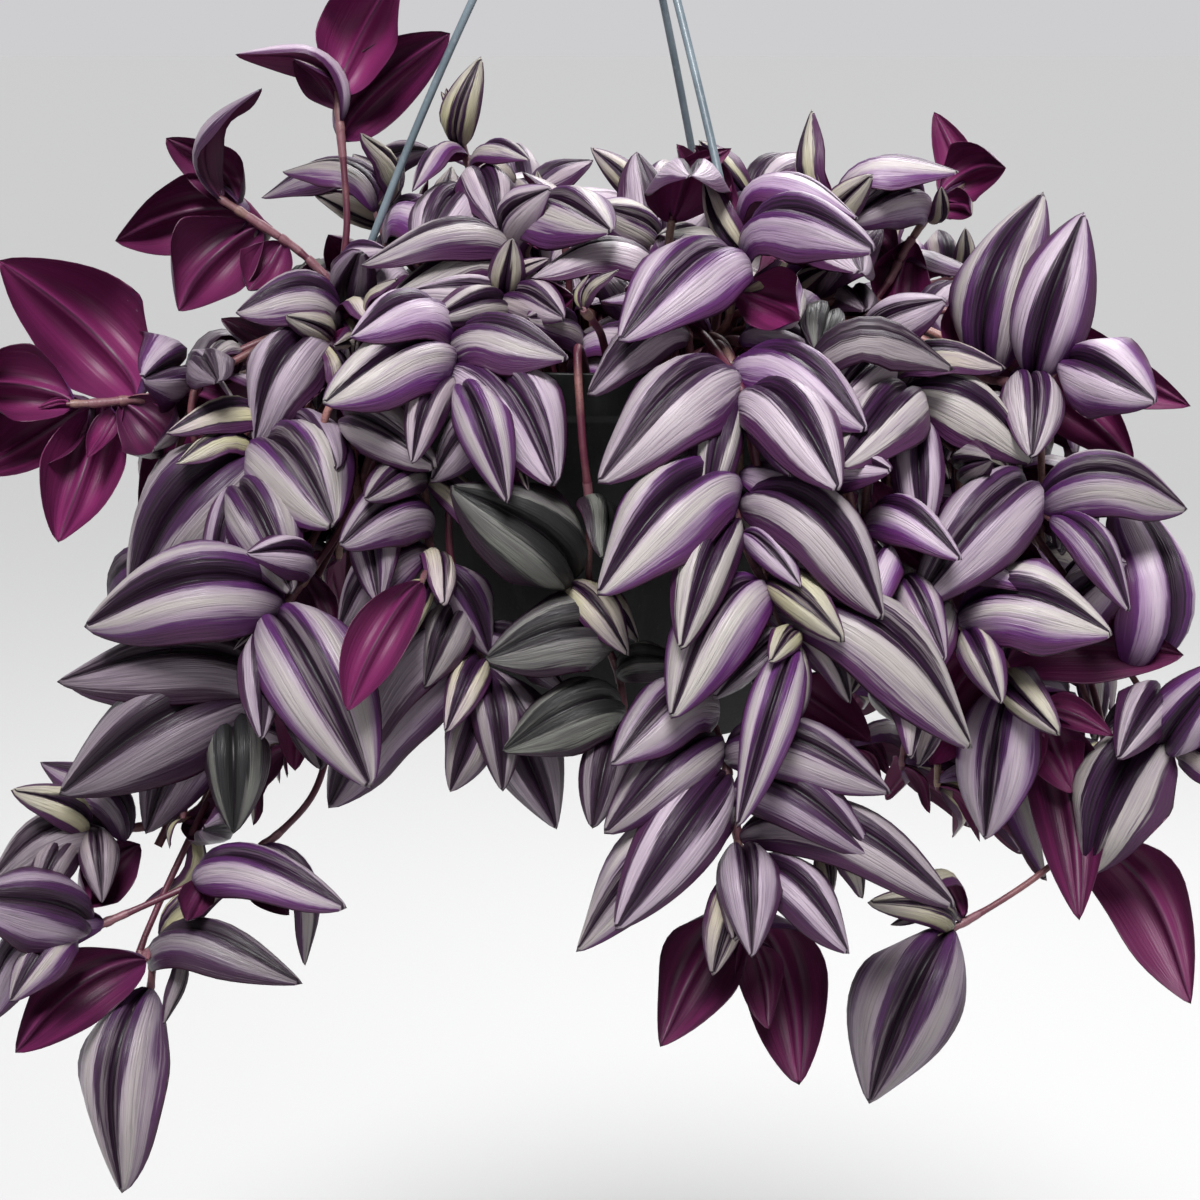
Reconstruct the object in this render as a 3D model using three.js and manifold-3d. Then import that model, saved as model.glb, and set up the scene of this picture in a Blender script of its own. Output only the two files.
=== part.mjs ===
// A hanging pot of purple-and-silver tradescantia: a plastic pot of potting mix on a three-strand
// hanger, with leafy stems that stand in the mix, arch over the rim and trail below the pot.
// Millimetres, +Z up. The origin is the point where the hook bears on what holds it.
import * as THREE from "three";
import { mergeVertices } from "three/addons/utils/BufferGeometryUtils.js";
import Module from "manifold-3d";

const wasm = await Module();
wasm.setup();

// ---------------------------------------------------------------- driving dimensions
const RIM_RADIUS = 100; // a pot 200 mm across
const POT_HEIGHT = 140;
const BASE_RADIUS = 68;
const POT_WALL = 2;
const RIM_BAND = 18; // height of the upright band under the lip
const POT_SIDES = 26;
const DRAIN_HOLES = 5;
const DRAIN_RADIUS = 4;
const DRAIN_CIRCLE = 44;
const SOIL_TOP = 124;
const FIT_GAP = 0.4; // between pieces that touch in the real thing

const STRAND_AZIMUTHS = [182, 302, 62]; // degrees: 0 right, 90 back, 180 left, 270 front
const STRAND_RADIUS = 1.5;
const STRAND_SIDES = 5;
const STRAND_SPANS = 7;
const STRAND_CIRCLE = 101.5; // of the holes in the rim's lugs
const STRAND_FLARE = [74, 225]; // radius and height that the bowed strand heads for
const STRAND_TOP = [3.5, 356]; // radius and height of its upper end, inside the crown
const LUG = { out: 9, wide: 14, tall: 5, top: 136 };
const CROWN = { radius: 11, low: 350, high: 366 };
const HOOK_RADIUS = 15; // of the hook's centre line
const HOOK_ROD = 2.4;
const HOOK_CENTRE = 391.4;
const HANG_HEIGHT = HOOK_CENTRE + HOOK_RADIUS - HOOK_ROD; // of the origin above the pot's base

const STEM_RADIUS = 2;
const STEM_TIP_RADIUS = 1.4;
const STEM_DEPTH = 12; // how far a stem stands in the mix
const STEM_SIDES = 3;
const LONG_SPAN = 34; // between knots: a longer one has a ring in its middle
const HOLE_RADIUS = 4.4;
const HOLE_SIDES = 3;
const STEM_EXIT = 9; // height over the mix up to which a stem stands upright
const CREST_RADIUS = 105; // where a stem passes over the rim

const BLADE_HALF_THICKNESS = 0.65;
const BLADE_STATIONS = [[0.08, 0.12], [0.34, 1], [0.7, 0.7]]; // shares of its length and half-breadth
const FIRST_NODE = 3; // distance of the last leaf's root from the stem's tip
const NODE_STEP = 5.5; // least distance between two leaves' roots
const BLADE_FOLD = 26; // degrees by which each half slopes down from the midrib
const BLADE_ARCH = 0.15; // rise of the midrib over its chord
const CLEARANCE = 0.3; // a blade keeps this far from its neighbours
const SLIVER_DECIMALS = [2, 3, 4]; // of a millimetre; a join has to stay closed at each
const OUTER_FROM = 0.12; // share of the length past which a leaf also clears its own stem's parts

// The front view from which the stems in sight are placed: 1200 units square, x right and y down.
const VIEW_TILT = 11; // degrees by which the eye looks down
const VIEW_DISTANCE = 1100;
const VIEW_UNIT = 0.386; // mm in one unit at the distance of the pot's axis
const VIEW_MIDDLE = 600;
const VIEW_AIM = new THREE.Vector3(-1.5, 0, 41);

// ---------------------------------------------------------------- places
const degrees = THREE.MathUtils.degToRad;
const UP = new THREE.Vector3(0, 0, 1);
const VIEW_UP = new THREE.Vector3(0, Math.sin(degrees(VIEW_TILT)), Math.cos(degrees(VIEW_TILT)));
const TO_EYE = new THREE.Vector3(0, -Math.cos(degrees(VIEW_TILT)), Math.sin(degrees(VIEW_TILT)));

// A point around the pot's axis, by azimuth in degrees, radius and height over the pot's base.
function around(azimuth, radius, height) {
  const a = degrees(azimuth);
  return new THREE.Vector3(radius * Math.cos(a), radius * Math.sin(a), height);
}

// Millimetres in one view unit for things that are this much nearer to the eye than the axis.
function unitAt(nearer) {
  return (VIEW_UNIT * (VIEW_DISTANCE - nearer)) / VIEW_DISTANCE;
}

// A point seen at (x, y) in the front view.
function seen(x, y, nearer) {
  const unit = unitAt(nearer);
  return VIEW_AIM.clone()
    .addScaledVector(new THREE.Vector3(1, 0, 0), (x - VIEW_MIDDLE) * unit)
    .addScaledVector(VIEW_UP, (VIEW_MIDDLE - y) * unit)
    .addScaledVector(TO_EYE, nearer);
}

// Where a point shows in the front view: [x, y, nearer].
function viewOf(point) {
  const from = point.clone().sub(VIEW_AIM);
  const nearer = from.dot(TO_EYE);
  const unit = unitAt(nearer);
  return [VIEW_MIDDLE + from.x / unit, VIEW_MIDDLE - from.dot(VIEW_UP) / unit, nearer];
}

// A seeded sequence of draws, so that every build grows the same plant.
function drawsFrom(seed) {
  let state = (seed * 2654435761) % 4294967296;
  return (low, high) => {
    state = (state * 1664525 + 1013904223) % 4294967296;
    return low + ((high - low) * state) / 4294967296;
  };
}

// ---------------------------------------------------------------- stems in sight
// root: [azimuth, radius] in the mix. crest: [azimuth, height over the rim], where it crosses the rim.
// route: [x, y, nearer] in the front view, out to the tip.
// leaves: [knots back from the tip, x and y of the leaf's tip, length, turn, breadth]. turn is the
// angle of the upper face from the eye, in degrees: 30 looks at the eye and a little upwards, and
// 180 shows the underside. A leaf's length beyond what the view shows comes towards the eye, or
// goes away from it where the length is negative. breadth is a share of the length.
const STEMS_IN_SIGHT = {
  rising_left: {
    root: [196, 62],
    route: [[351, 318, 36], [347, 215, 40], [340, 125, 40], [336, 88, 38]],
    leaves: [
      [0.3, 458, 42, 52, 170, 0.45],
      [0, 400, -28, 56, 185, 0.55],
      [0.2, 268, 24, 42, 110, 0.4],
      [0.1, 300, 52, 30, 150, 0.45],
      [2.5, 392, 250, 24, 60, 0.6],
    ],
  },
  leaning_left: {
    root: [207, 60],
    route: [[352, 300, 56], [300, 252, 58], [216, 196, 62]],
    leaves: [
      [0.1, 178, 311, 50, 178, 0.62],
      [0.05, 115, 241, 50, 165, 0.55],
      [0, 262, 88, 52, 100, 0.3],
      [0, 166, 138, 26, 170, 0.5],
      [0.8, 240, 282, 30, 190, 0.62],
      [1.2, 312, 330, 30, 170, 0.5],
    ],
  },
  dark_upper_left: {
    root: [142, 46],
    route: [[398, 250, -22], [386, 180, -22]],
    leaves: [
      [0.1, 261, 198, 50, 60, 0.42],
      [0.3, 352, 148, 30, 40, 0.4],
      [0, 432, 152, 34, 30, 0.45],
      [0.5, 440, 215, 36, 40, 0.4],
    ],
  },
  arching_top: {
    root: [196, 26],
    route: [[480, 240, 36], [474, 185, 34], [460, 138, 30]],
    leaves: [
      [0, 446, 88, 24, 20, 0.42],
      [0.1, 412, 192, 38, 70, 0.34],
      [0.15, 530, 160, 38, 60, 0.36],
      [1, 425, 222, 46, 35, 0.6],
      [1.1, 545, 235, 50, 45, 0.5],
      [0.8, 500, 232, 36, 20, 0.55],
    ],
  },
  long_arching: {
    root: [236, 34],
    route: [[515, 292, 66], [532, 234, 64]],
    leaves: [
      [0.1, 360, 266, 72, 62, 0.32],
      [0.4, 384, 300, 60, 60, 0.34],
      [0, 607, 254, 56, 40, 0.52],
      [0, 575, 190, 44, 40, 0.5],
    ],
  },
  curled_upper: {
    root: [244, 58],
    route: [[500, 322, 98], [506, 286, 100]],
    leaves: [
      [0.3, 408, 292, 44, 40, 0.42],
      [0.2, 430, 318, 40, 30, 0.42],
      [0, 512, 238, 26, 0, 0.5],
      [0, 566, 312, 34, 40, 0.5],
    ],
  },
  far_left: {
    root: [188, 64],
    crest: [187, 12],
    route: [[262, 366, 46], [195, 390, 58], [110, 402, 66], [66, 404, 70]],
    leaves: [
      [1.7, 218, 484, 44, 20, 0.52],
      [1.5, 240, 440, 40, 160, 0.52],
      [0.3, 159, 388, 42, 165, 0.66],
      [0.2, 152, 452, 42, 175, 0.56],
      [0.2, 3, 256, 66, 185, 0.56],
      [0.1, 51, 541, 56, 175, 0.5],
      [0, -42, 388, 48, 185, 0.6],
      [0, -28, 476, 48, 190, 0.55],
      [2.6, 200, 366, 34, 95, 0.3],
    ],
  },
  rosette_upper_left: {
    root: [209, 79],
    crest: [208, 13],
    route: [[322, 344, 88]],
    leaves: [
      [0.4, 362, 415, 36, 20, 0.5],
      [0.2, 229, 316, 44, 35, 0.62],
      [0.1, 256, 444, 50, 15, 0.56],
      [0, 285, 312, 24, 0, 0.5],
    ],
  },
  rosette_left: {
    root: [201, 70],
    crest: [201, 9],
    route: [[298, 402, 74], [262, 456, 86], [230, 503, 94]],
    leaves: [
      [0.6, 245, 425, 44, 60, 0.55],
      [0.5, 338, 462, 46, 40, 0.52],
      [0.3, 117, 588, 58, 25, 0.62],
      [0.1, 322, 524, 54, 15, 0.66],
      [0, 277, 608, 52, 0, 0.5],
      [0, 214, 607, 46, 0, 0.26],
      [0, 178, 596, 36, 10, 0.42],
      [1, 80, 560, 40, 185, 0.62],
    ],
  },
  broad_left: {
    root: [221, 72],
    crest: [220, 9],
    route: [[376, 430, 98], [345, 520, 100], [290, 598, 106], [257, 638, 112]],
    leaves: [
      [0.2, 84, 627, 70, 28, 0.54],
      [0.1, 374, 788, 76, 12, 0.46],
      [0.4, 160, 694, 46, 160, 0.45],
      [0, 262, 740, 46, 5, 0.36],
      [1.2, 232, 560, 44, 40, 0.4],
    ],
  },
  low_left: {
    root: [227, 79],
    crest: [227, 9],
    route: [[388, 480, 88], [352, 600, 82], [285, 682, 82], [224, 722, 86]],
    leaves: [
      [0.3, 60, 700, 50, 40, 0.4],
      [0.2, 71, 812, 66, 25, 0.46],
      [0.1, 150, 838, 50, 10, 0.5],
      [0, 232, 834, 46, 0, 0.5],
      [0.3, 322, 770, 44, 20, 0.42],
      [1, 96, 768, 52, 180, 0.56],
      [1.3, 380, 700, 36, 30, 0.5],
    ],
  },
  thick_low_left: {
    root: [214, 56],
    crest: [214, 9],
    route: [
      [354, 460, 66], [346, 610, 60], [318, 784, 68],
      [245, 856, 78], [190, 885, 84], [66, 940, 92],
    ],
    leaves: [
      [1.1, 347, 908, 64, 50, 0.34],
      [1.3, 190, 918, 30, 170, 0.42],
      [1.6, 290, 906, 34, 170, 0.42],
      [0.3, -25, 1015, 50, 30, 0.36],
      [0.1, -40, 880, 56, 30, 0.56],
      [0, 10, 1002, 40, 30, 0.5],
      [2.2, 300, 968, 44, 60, 0.3],
    ],
  },
  lowest_left: {
    root: [194, 82],
    crest: [194, 9],
    route: [[300, 460, 38], [268, 610, 38], [215, 764, 52], [158, 846, 66], [72, 836, 78]],
    branch: [[158, 906, 70], [154, 952, 74], [150, 996, 74]],
    branchFrom: 1,
    branchLeaves: [
      [0, 118, 1193, 76, 8, 0.42],
      [0.7, 24, 1046, 64, 172, 0.44],
      [0.6, 302, 984, 62, 60, 0.36],
      [1.2, 200, 1010, 34, 100, 0.34],
    ],
    leaves: [
      [0.1, -12, 884, 48, 40, 0.5],
      [0, 34, 902, 36, 0, 0.46],
      [0, 100, 912, 34, 5, 0.42],
      [0.4, 96, 898, 44, 170, 0.5],
      [0.2, 40, 762, 38, 60, 0.5],
      [1.4, 150, 800, 50, 40, 0.5],
      [2.2, 62, 684, 50, 40, 0.45],
      [2.5, 90, 760, 54, 175, 0.52],
    ],
  },
  magenta_middle: {
    root: [231, 70],
    crest: [232, 9],
    route: [[420, 450, 108], [428, 525, 104], [429, 590, 106]],
    leaves: [
      [0.8, 340, 546, 48, 35, 0.5],
      [0, 357, 707, 54, 180, 0.36],
      [0.2, 338, 632, 40, 30, 0.5],
      [0.1, 500, 650, 34, 20, 0.5],
      [1.6, 365, 500, 40, 30, 0.4],
    ],
  },
  rosette_centre_left: {
    root: [239, 74],
    crest: [239, 12],
    route: [[455, 374, 124], [461, 395, 132]],
    leaves: [
      [1.1, 350, 338, 52, 60, 0.56],
      [1, 574, 358, 50, 50, 0.52],
      [0.4, 318, 402, 60, 35, 0.5],
      [0.2, 556, 486, 58, 20, 0.5],
      [0, 508, 504, 50, 0, 0.36],
      [0, 412, 464, 38, 5, 0.36],
    ],
  },
  low_centre_left: {
    root: [246, 79],
    crest: [245, 9],
    route: [[452, 452, 112], [452, 565, 102], [478, 652, 98], [485, 706, 100]],
    leaves: [
      [0.5, 345, 766, 62, 45, 0.42],
      [0.2, 322, 804, 76, 20, 0.42],
      [0.1, 549, 833, 52, 0, 0.42],
      [0, 450, 792, 36, 0, 0.5],
      [0, 505, 800, 34, 5, 0.4],
      [0.2, 566, 690, 34, 30, 0.44],
      [1.2, 380, 660, 42, 30, 0.5],
    ],
  },
  dark_centre: {
    root: [255, 74],
    crest: [257, 9],
    route: [[545, 440, 124], [560, 535, 116], [564, 594, 112]],
    leaves: [
      [0, 450, 486, 62, 15, 0.56],
      [1, 500, 600, 36, 30, 0.5],
    ],
  },
  pink_centre: {
    root: [266, 79],
    crest: [265, 9],
    route: [[582, 436, 127], [589, 505, 121], [591, 600, 112], [620, 680, 104], [622, 735, 102]],
    leaves: [
      [1.4, 484, 648, 48, 20, 0.6],
      [0.1, 507, 770, 48, 30, 0.56],
      [3, 604, 560, 34, 60, 0.5],
      [1, 692, 664, 30, 30, 0.5],
      [0, 600, 830, 44, 10, 0.4],
    ],
  },
  cascade: {
    root: [292, 78],
    crest: [292, 10],
    route: [
      [738, 388, 128], [741, 412, 136], [738, 470, 134],
      [738, 528, 140], [772, 600, 134], [798, 656, 140],
    ],
    leaves: [
      [4.3, 860, 452, 60, 38, 0.5],
      [4.2, 598, 484, 68, 32, 0.46],
      [4, 832, 508, 60, 12, 0.46],
      [4, 690, 518, 50, 0, 0.34],
      [3.9, 790, 478, 32, 0, 0.4],
      [2.4, 838, 552, 44, 50, 0.5],
      [2.2, 598, 614, 68, 25, 0.48],
      [2, 672, 645, 56, 0, 0.34],
      [2, 874, 628, 66, 18, 0.44],
      [1.9, 800, 592, 34, 0, 0.36],
      [0.2, 671, 719, 60, 25, 0.46],
      [0.1, 972, 748, 78, 25, 0.38],
      [0, 737, 828, 68, 8, 0.26],
      [0, 790, 738, 34, 0, 0.34],
      [0, 850, 704, 34, 10, 0.34],
    ],
  },
  lower_cascade: {
    root: [283, 79],
    crest: [283, 9],
    route: [
      [680, 460, 122], [688, 570, 112], [702, 688, 110],
      [726, 766, 120], [738, 842, 122], [742, 948, 112],
    ],
    leaves: [
      [2.6, 611, 766, 56, 40, 0.46],
      [2.2, 604, 834, 58, 25, 0.42],
      [2, 892, 790, 66, 35, 0.4],
      [1.9, 608, 924, 74, 15, 0.36],
      [1.6, 878, 868, 60, 20, 0.4],
      [1.3, 576, 952, 72, 20, 0.36],
      [1, 958, 905, 84, 30, 0.3],
      [0.9, 752, 958, 48, 0, 0.46],
      [0.7, 850, 950, 54, 25, 0.4],
      [0.2, 660, 1047, 50, 178, 0.5],
      [0.1, 800, 1099, 60, 172, 0.46],
      [0, 768, 1030, 32, 170, 0.5],
    ],
  },
  right_of_centre: {
    root: [304, 78],
    crest: [307, 9],
    route: [[800, 436, 120], [858, 520, 120], [906, 592, 118]],
    leaves: [
      [1.4, 892, 470, 44, 40, 0.45],
      [0.8, 962, 560, 46, 40, 0.45],
      [0.3, 842, 648, 44, 25, 0.45],
      [0, 945, 660, 40, 5, 0.4],
      [0, 905, 668, 30, 0, 0.3],
    ],
  },
  broad_right: {
    root: [312, 72],
    crest: [311, 9],
    route: [[846, 432, 104], [900, 540, 100], [972, 640, 108]],
    leaves: [
      [0.1, 1113, 632, 60, 25, 0.6],
      [0, 1002, 704, 36, 0, 0.42],
      [0.3, 905, 720, 46, 30, 0.45],
      [0.6, 1040, 590, 44, 50, 0.4],
    ],
  },
  slanting_right: {
    root: [319, 82],
    crest: [318, 10],
    route: [[880, 372, 102], [925, 424, 110]],
    leaves: [
      [0.9, 955, 300, 46, 50, 0.5],
      [0.6, 820, 392, 44, 40, 0.4],
      [0.2, 831, 530, 62, 22, 0.42],
      [0, 940, 548, 50, 5, 0.36],
      [0.2, 1035, 458, 50, 30, 0.5],
    ],
  },
  lilac_right: {
    root: [326, 72],
    crest: [325, 9],
    route: [[925, 424, 88], [1000, 484, 92], [1058, 522, 96]],
    leaves: [
      [0.1, 903, 566, 66, 32, 0.44],
      [0, 1130, 612, 48, 20, 0.36],
      [0, 1187, 508, 50, 30, 0.5],
      [1, 1052, 420, 46, 40, 0.4],
    ],
  },
  burgundy_right: {
    root: [332, 79],
    crest: [331, 9],
    route: [[915, 455, 72], [965, 585, 74], [1030, 716, 84]],
    leaves: [
      [0.4, 930, 765, 46, 178, 0.66],
      [0.3, 1184, 655, 56, 170, 0.5],
      [0, 1096, 918, 74, 175, 0.34],
      [0.1, 1082, 800, 42, 180, 0.6],
      [0.1, 985, 840, 44, 20, 0.5],
      [1.2, 1060, 590, 50, 175, 0.5],
    ],
  },
  crown_right: {
    root: [339, 74],
    crest: [338, 12],
    route: [[950, 366, 72], [1026, 384, 86], [1067, 362, 96]],
    leaves: [
      [0.2, 1042, 191, 68, 22, 0.44],
      [0.1, 1084, 212, 64, 18, 0.46],
      [0, 1156, 396, 48, 12, 0.66],
      [0.1, 1032, 458, 46, 0, 0.46],
      [0.1, 1134, 462, 44, 170, 0.42],
      [0, 1076, 318, 24, 0, 0.4],
      [0.3, 1192, 404, 54, 150, 0.34],
      [0.6, 975, 255, 44, 175, 0.5],
      [1, 1030, 300, 44, 165, 0.4],
    ],
  },
  far_right: {
    root: [345, 79],
    crest: [345, 9],
    route: [[965, 442, 50], [1062, 572, 56], [1142, 692, 62], [1184, 764, 68]],
    leaves: [
      [0.2, 1067, 864, 60, 30, 0.6],
      [0.1, 1228, 660, 56, 25, 0.44],
      [0.6, 1118, 760, 46, 20, 0.42],
      [1.2, 1120, 480, 48, 40, 0.5],
      [1.6, 1186, 545, 52, 30, 0.5],
      [0, 1240, 800, 40, 20, 0.5],
    ],
  },
  hanging_right: {
    root: [352, 72],
    crest: [352, 9],
    route: [[985, 470, 26], [1076, 640, 32], [1106, 790, 46], [1040, 874, 62], [944, 933, 74]],
    leaves: [
      [0, 869, 1104, 70, 10, 0.54],
      [1.4, 1191, 1004, 66, 160, 0.42],
      [2.3, 1215, 712, 52, 40, 0.45],
      [3.2, 1165, 560, 50, 40, 0.45],
      [0.1, 890, 925, 22, 60, 0.3],
    ],
  },
  rear_right: {
    root: [30, 40],
    route: [[850, 322, 6], [905, 250, 8], [944, 190, 12]],
    leaves: [
      [0, 1006, 168, 34, 178, 0.7],
      [0, 972, 215, 24, 175, 0.5],
      [0.1, 846, 222, 46, 20, 0.5],
      [1.2, 792, 203, 42, 180, 0.5],
      [0.8, 890, 330, 44, 178, 0.5],
    ],
  },
  wire_hugging: {
    root: [286, 34],
    route: [[722, 330, 100], [733, 292, 110], [748, 253, 113]],
    leaves: [
      [0.1, 876, 250, 58, 45, 0.48],
      [0.1, 619, 342, 62, 35, 0.5],
      [0.4, 800, 320, 44, 178, 0.5],
    ],
  },
  upright_middle: {
    root: [100, 14],
    route: [[648, 300, 22], [654, 246, 26]],
    leaves: [
      [0.1, 636, 147, 44, 20, 0.52],
      [0.1, 718, 168, 44, 25, 0.5],
      [0, 590, 205, 40, 30, 0.5],
      [0.4, 600, 290, 40, 50, 0.45],
      [0, 672, 236, 20, 10, 0.5],
    ],
  },
  violet_middle: {
    root: [264, 52],
    route: [[566, 384, 82], [562, 352, 90]],
    leaves: [
      [0.1, 692, 384, 56, 68, 0.34],
      [0.3, 640, 420, 40, 50, 0.4],
      [0, 490, 330, 40, 50, 0.45],
      [0, 600, 320, 36, 40, 0.45],
    ],
  },
};

// ---------------------------------------------------------------- stems out of sight
const BACK_STEMS = 11; // trail over the rim, round the back
const BACK_FROM = 6; // azimuth of the first
const BACK_STEP = 15.6;
const BACK_KNOTS = [[116, 130], [124, 92], [124, 48], [130, 8], [128, -34]]; // radius and height
const MOUND_ROOTS = [[330, 46], [72, 40], [48, 76], [112, 70], [172, 76], [358, 76], [290, 58]];

const FRESH_LENGTH = 58; // of a grown leaf, and its breadth as a share of that
const FRESH_BREADTH = 0.5;

// A leaf from its root along a direction, its upper face towards another.
function leafAlong(root, direction, length, face) {
  const tip = root.clone().addScaledVector(direction.clone().normalize(), length);
  return { root, tip, face: face.normalize(), breadth: FRESH_BREADTH };
}

// A stem that trails down the back or a side, with leaves to its left and right in turn.
function trailingStem(order) {
  const draw = drawsFrom(100 + order);
  const azimuth = BACK_FROM + BACK_STEP * order;
  const sway = draw(-5, 5);
  const reach = 3 + Math.floor(draw(0, 3));
  const rootRadius = [78, 56][order % 2];
  const points = [
    around(azimuth, rootRadius, SOIL_TOP - STEM_DEPTH),
    around(azimuth, rootRadius, SOIL_TOP + STEM_EXIT),
    around(azimuth, CREST_RADIUS, POT_HEIGHT + 8 + 6 * (order % 2)),
  ];
  BACK_KNOTS.slice(0, reach).forEach(([radius, height], k) =>
    points.push(around(azimuth + (sway * (k + 1)) / 3, radius + draw(-3, 5), height + draw(-8, 8))),
  );
  const stem = { name: `leafy_stem_back_${order + 1}`, points, leaves: [] };
  const outward = around(azimuth, 1, 0);
  const aside = new THREE.Vector3().crossVectors(UP, outward);
  const count = 4 + reach;
  for (let k = 0; k < count; k++) {
    const place = FIRST_NODE + (distanceBack(points, reach + 0.6) * k) / count;
    const hand = k % 2 ? 1 : -1;
    const direction = outward.clone().multiplyScalar(draw(0.45, 0.75));
    direction.addScaledVector(aside, hand * draw(0.6, 0.85));
    direction.addScaledVector(UP, -draw(0.3, 0.7));
    const face = outward.clone().addScaledVector(UP, draw(0.6, 1));
    stem.leaves.push(leafAlong(pointAt(points, place), direction, FRESH_LENGTH * draw(0.82, 1.08), face));
  }
  return stem;
}

// A short stem that stands in the mound over the pot, with leaves all round its tip.
function standingStem([azimuth, radius], order) {
  const draw = drawsFrom(200 + order);
  const height = draw(52, 74);
  const points = [
    around(azimuth, radius, SOIL_TOP - STEM_DEPTH),
    around(azimuth, radius, SOIL_TOP + STEM_EXIT),
    around(azimuth, radius + 4, SOIL_TOP + 0.6 * height),
    around(azimuth, radius + 12, SOIL_TOP + height),
  ];
  const stem = { name: `leafy_stem_top_${order + 1}`, points, leaves: [] };
  for (let k = 0; k < 5; k++) {
    const place = FIRST_NODE + 2 * NODE_STEP * k;
    const direction = around(azimuth + 137.5 * k + draw(-15, 15), 1, draw(0.05, 0.45));
    const face = UP.clone().addScaledVector(around(azimuth, 1, 0), 0.2);
    stem.leaves.push(leafAlong(pointAt(points, place), direction, FRESH_LENGTH * draw(0.7, 1), face));
  }
  return stem;
}

// ---------------------------------------------------------------- stems as curves
// The sections of a stem, from its tip down: smooth through its knots, with a section at each and
// one in the middle of each long span. `knots` and `distance` are counted from the tip.
function sectionsFromTip(points) {
  const curve = new THREE.CatmullRomCurve3(points, false, "catmullrom", 0.5);
  const spans = points.length - 1;
  const sections = [{ centre: points[spans], knots: 0, distance: 0 }];
  for (let half = 1; half <= 2 * spans; half++) {
    const knots = half / 2;
    const span = spans - Math.ceil(knots);
    if (half % 2 && points[span].distanceTo(points[span + 1]) < LONG_SPAN) continue;
    const centre = curve.getPoint(1 - knots / spans);
    const last = sections.at(-1);
    sections.push({ centre, knots, distance: last.distance + centre.distanceTo(last.centre) });
  }
  return sections;
}

// The distance from the tip at which a stem is some knots back.
function distanceBack(points, knots) {
  const sections = sectionsFromTip(points);
  const k = sections.findIndex((section) => section.knots > knots);
  const [low, high] = [sections[k - 1], sections[k]];
  return THREE.MathUtils.mapLinear(knots, low.knots, high.knots, low.distance, high.distance);
}

// The point on a stem at a distance from its tip.
function pointAt(points, distance) {
  const sections = sectionsFromTip(points);
  const k = sections.findIndex((section) => section.distance > distance);
  const [low, high] = [sections[k - 1], sections[k]];
  return low.centre.clone().lerp(high.centre, (distance - low.distance) / (high.distance - low.distance));
}

// The upper face's direction: turned by `turn` degrees from the eye, over the top of the leaf.
function turnedFace(root, tip, turn) {
  const along = tip.clone().sub(root).normalize();
  const toEye = TO_EYE.clone().addScaledVector(along, -TO_EYE.dot(along)).normalize();
  const across = new THREE.Vector3().crossVectors(along, toEye);
  if (across.z < 0) across.negate();
  return toEye.multiplyScalar(Math.cos(degrees(turn))).addScaledVector(across, Math.sin(degrees(turn)));
}

// Leaves whose tips show at (x, y) in the front view, and whose depths there follow from their
// lengths. Each springs from a place of its own on the stem.
function leavesInSight(points, leaves) {
  let place = FIRST_NODE - NODE_STEP;
  return leaves
    .toSorted((a, b) => a[0] - b[0])
    .map(([knots, x, y, length, turn, breadth]) => {
      place = Math.max(distanceBack(points, knots), place + NODE_STEP);
      const root = pointAt(points, place);
      const [rootX, rootY, nearer] = viewOf(root);
      const shown = Math.hypot(x - rootX, y - rootY) * unitAt(nearer);
      const deep = Math.sqrt(Math.max(0, length * length - shown * shown));
      const tip = seen(x, y, nearer + Math.sign(length) * deep);
      return { root, tip, face: turnedFace(root, tip, turn), breadth };
    });
}

// The stem in sight as named points and leaves, with its side branch if it has one.
function stemInSight(name, { root, crest, route, leaves, branch, branchFrom, branchLeaves }) {
  const [azimuth, radius] = root;
  const points = [
    around(azimuth, radius, SOIL_TOP - STEM_DEPTH),
    around(azimuth, radius, SOIL_TOP + STEM_EXIT),
  ];
  if (crest) points.push(around(crest[0], CREST_RADIUS, POT_HEIGHT + crest[1]));
  points.push(...route.map((place) => seen(...place)));
  const stem = { name: `leafy_stem_${name}`, points };
  stem.leaves = leavesInSight(points, leaves);
  if (branch) {
    const fork = pointAt(points, distanceBack(points, branchFrom));
    stem.side = [fork, ...branch.map((place) => seen(...place))];
    stem.leaves.push(...leavesInSight(stem.side, branchLeaves));
  }
  return stem;
}

// ---------------------------------------------------------------- solids
// A closed geometry as a manifold-3d solid.
function solidOf(geometry) {
  geometry.deleteAttribute("normal");
  geometry.deleteAttribute("uv");
  const merged = mergeVertices(geometry, 1e-4);
  return new wasm.Manifold(
    new wasm.Mesh({
      numProp: 3,
      vertProperties: new Float32Array(merged.attributes.position.array),
      triVerts: new Uint32Array(merged.index.array),
    }),
  );
}

// A manifold-3d solid as a named mesh.
function meshOf(name, solid, material) {
  const { vertProperties, triVerts } = solid.getMesh();
  const geometry = new THREE.BufferGeometry();
  geometry.setAttribute("position", new THREE.BufferAttribute(vertProperties, 3));
  geometry.setIndex(new THREE.BufferAttribute(triVerts, 1));
  geometry.computeVertexNormals();
  const mesh = new THREE.Mesh(geometry, material);
  mesh.name = name;
  return mesh;
}

// The geometry with each vertex moved to where `place(x, y, z)` puts it.
function bent(geometry, place) {
  const position = geometry.attributes.position;
  for (let i = 0; i < position.count; i++) {
    const p = place(position.getX(i), position.getY(i), position.getZ(i));
    position.setXYZ(i, p.x, p.y, p.z);
  }
  return geometry;
}

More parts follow.
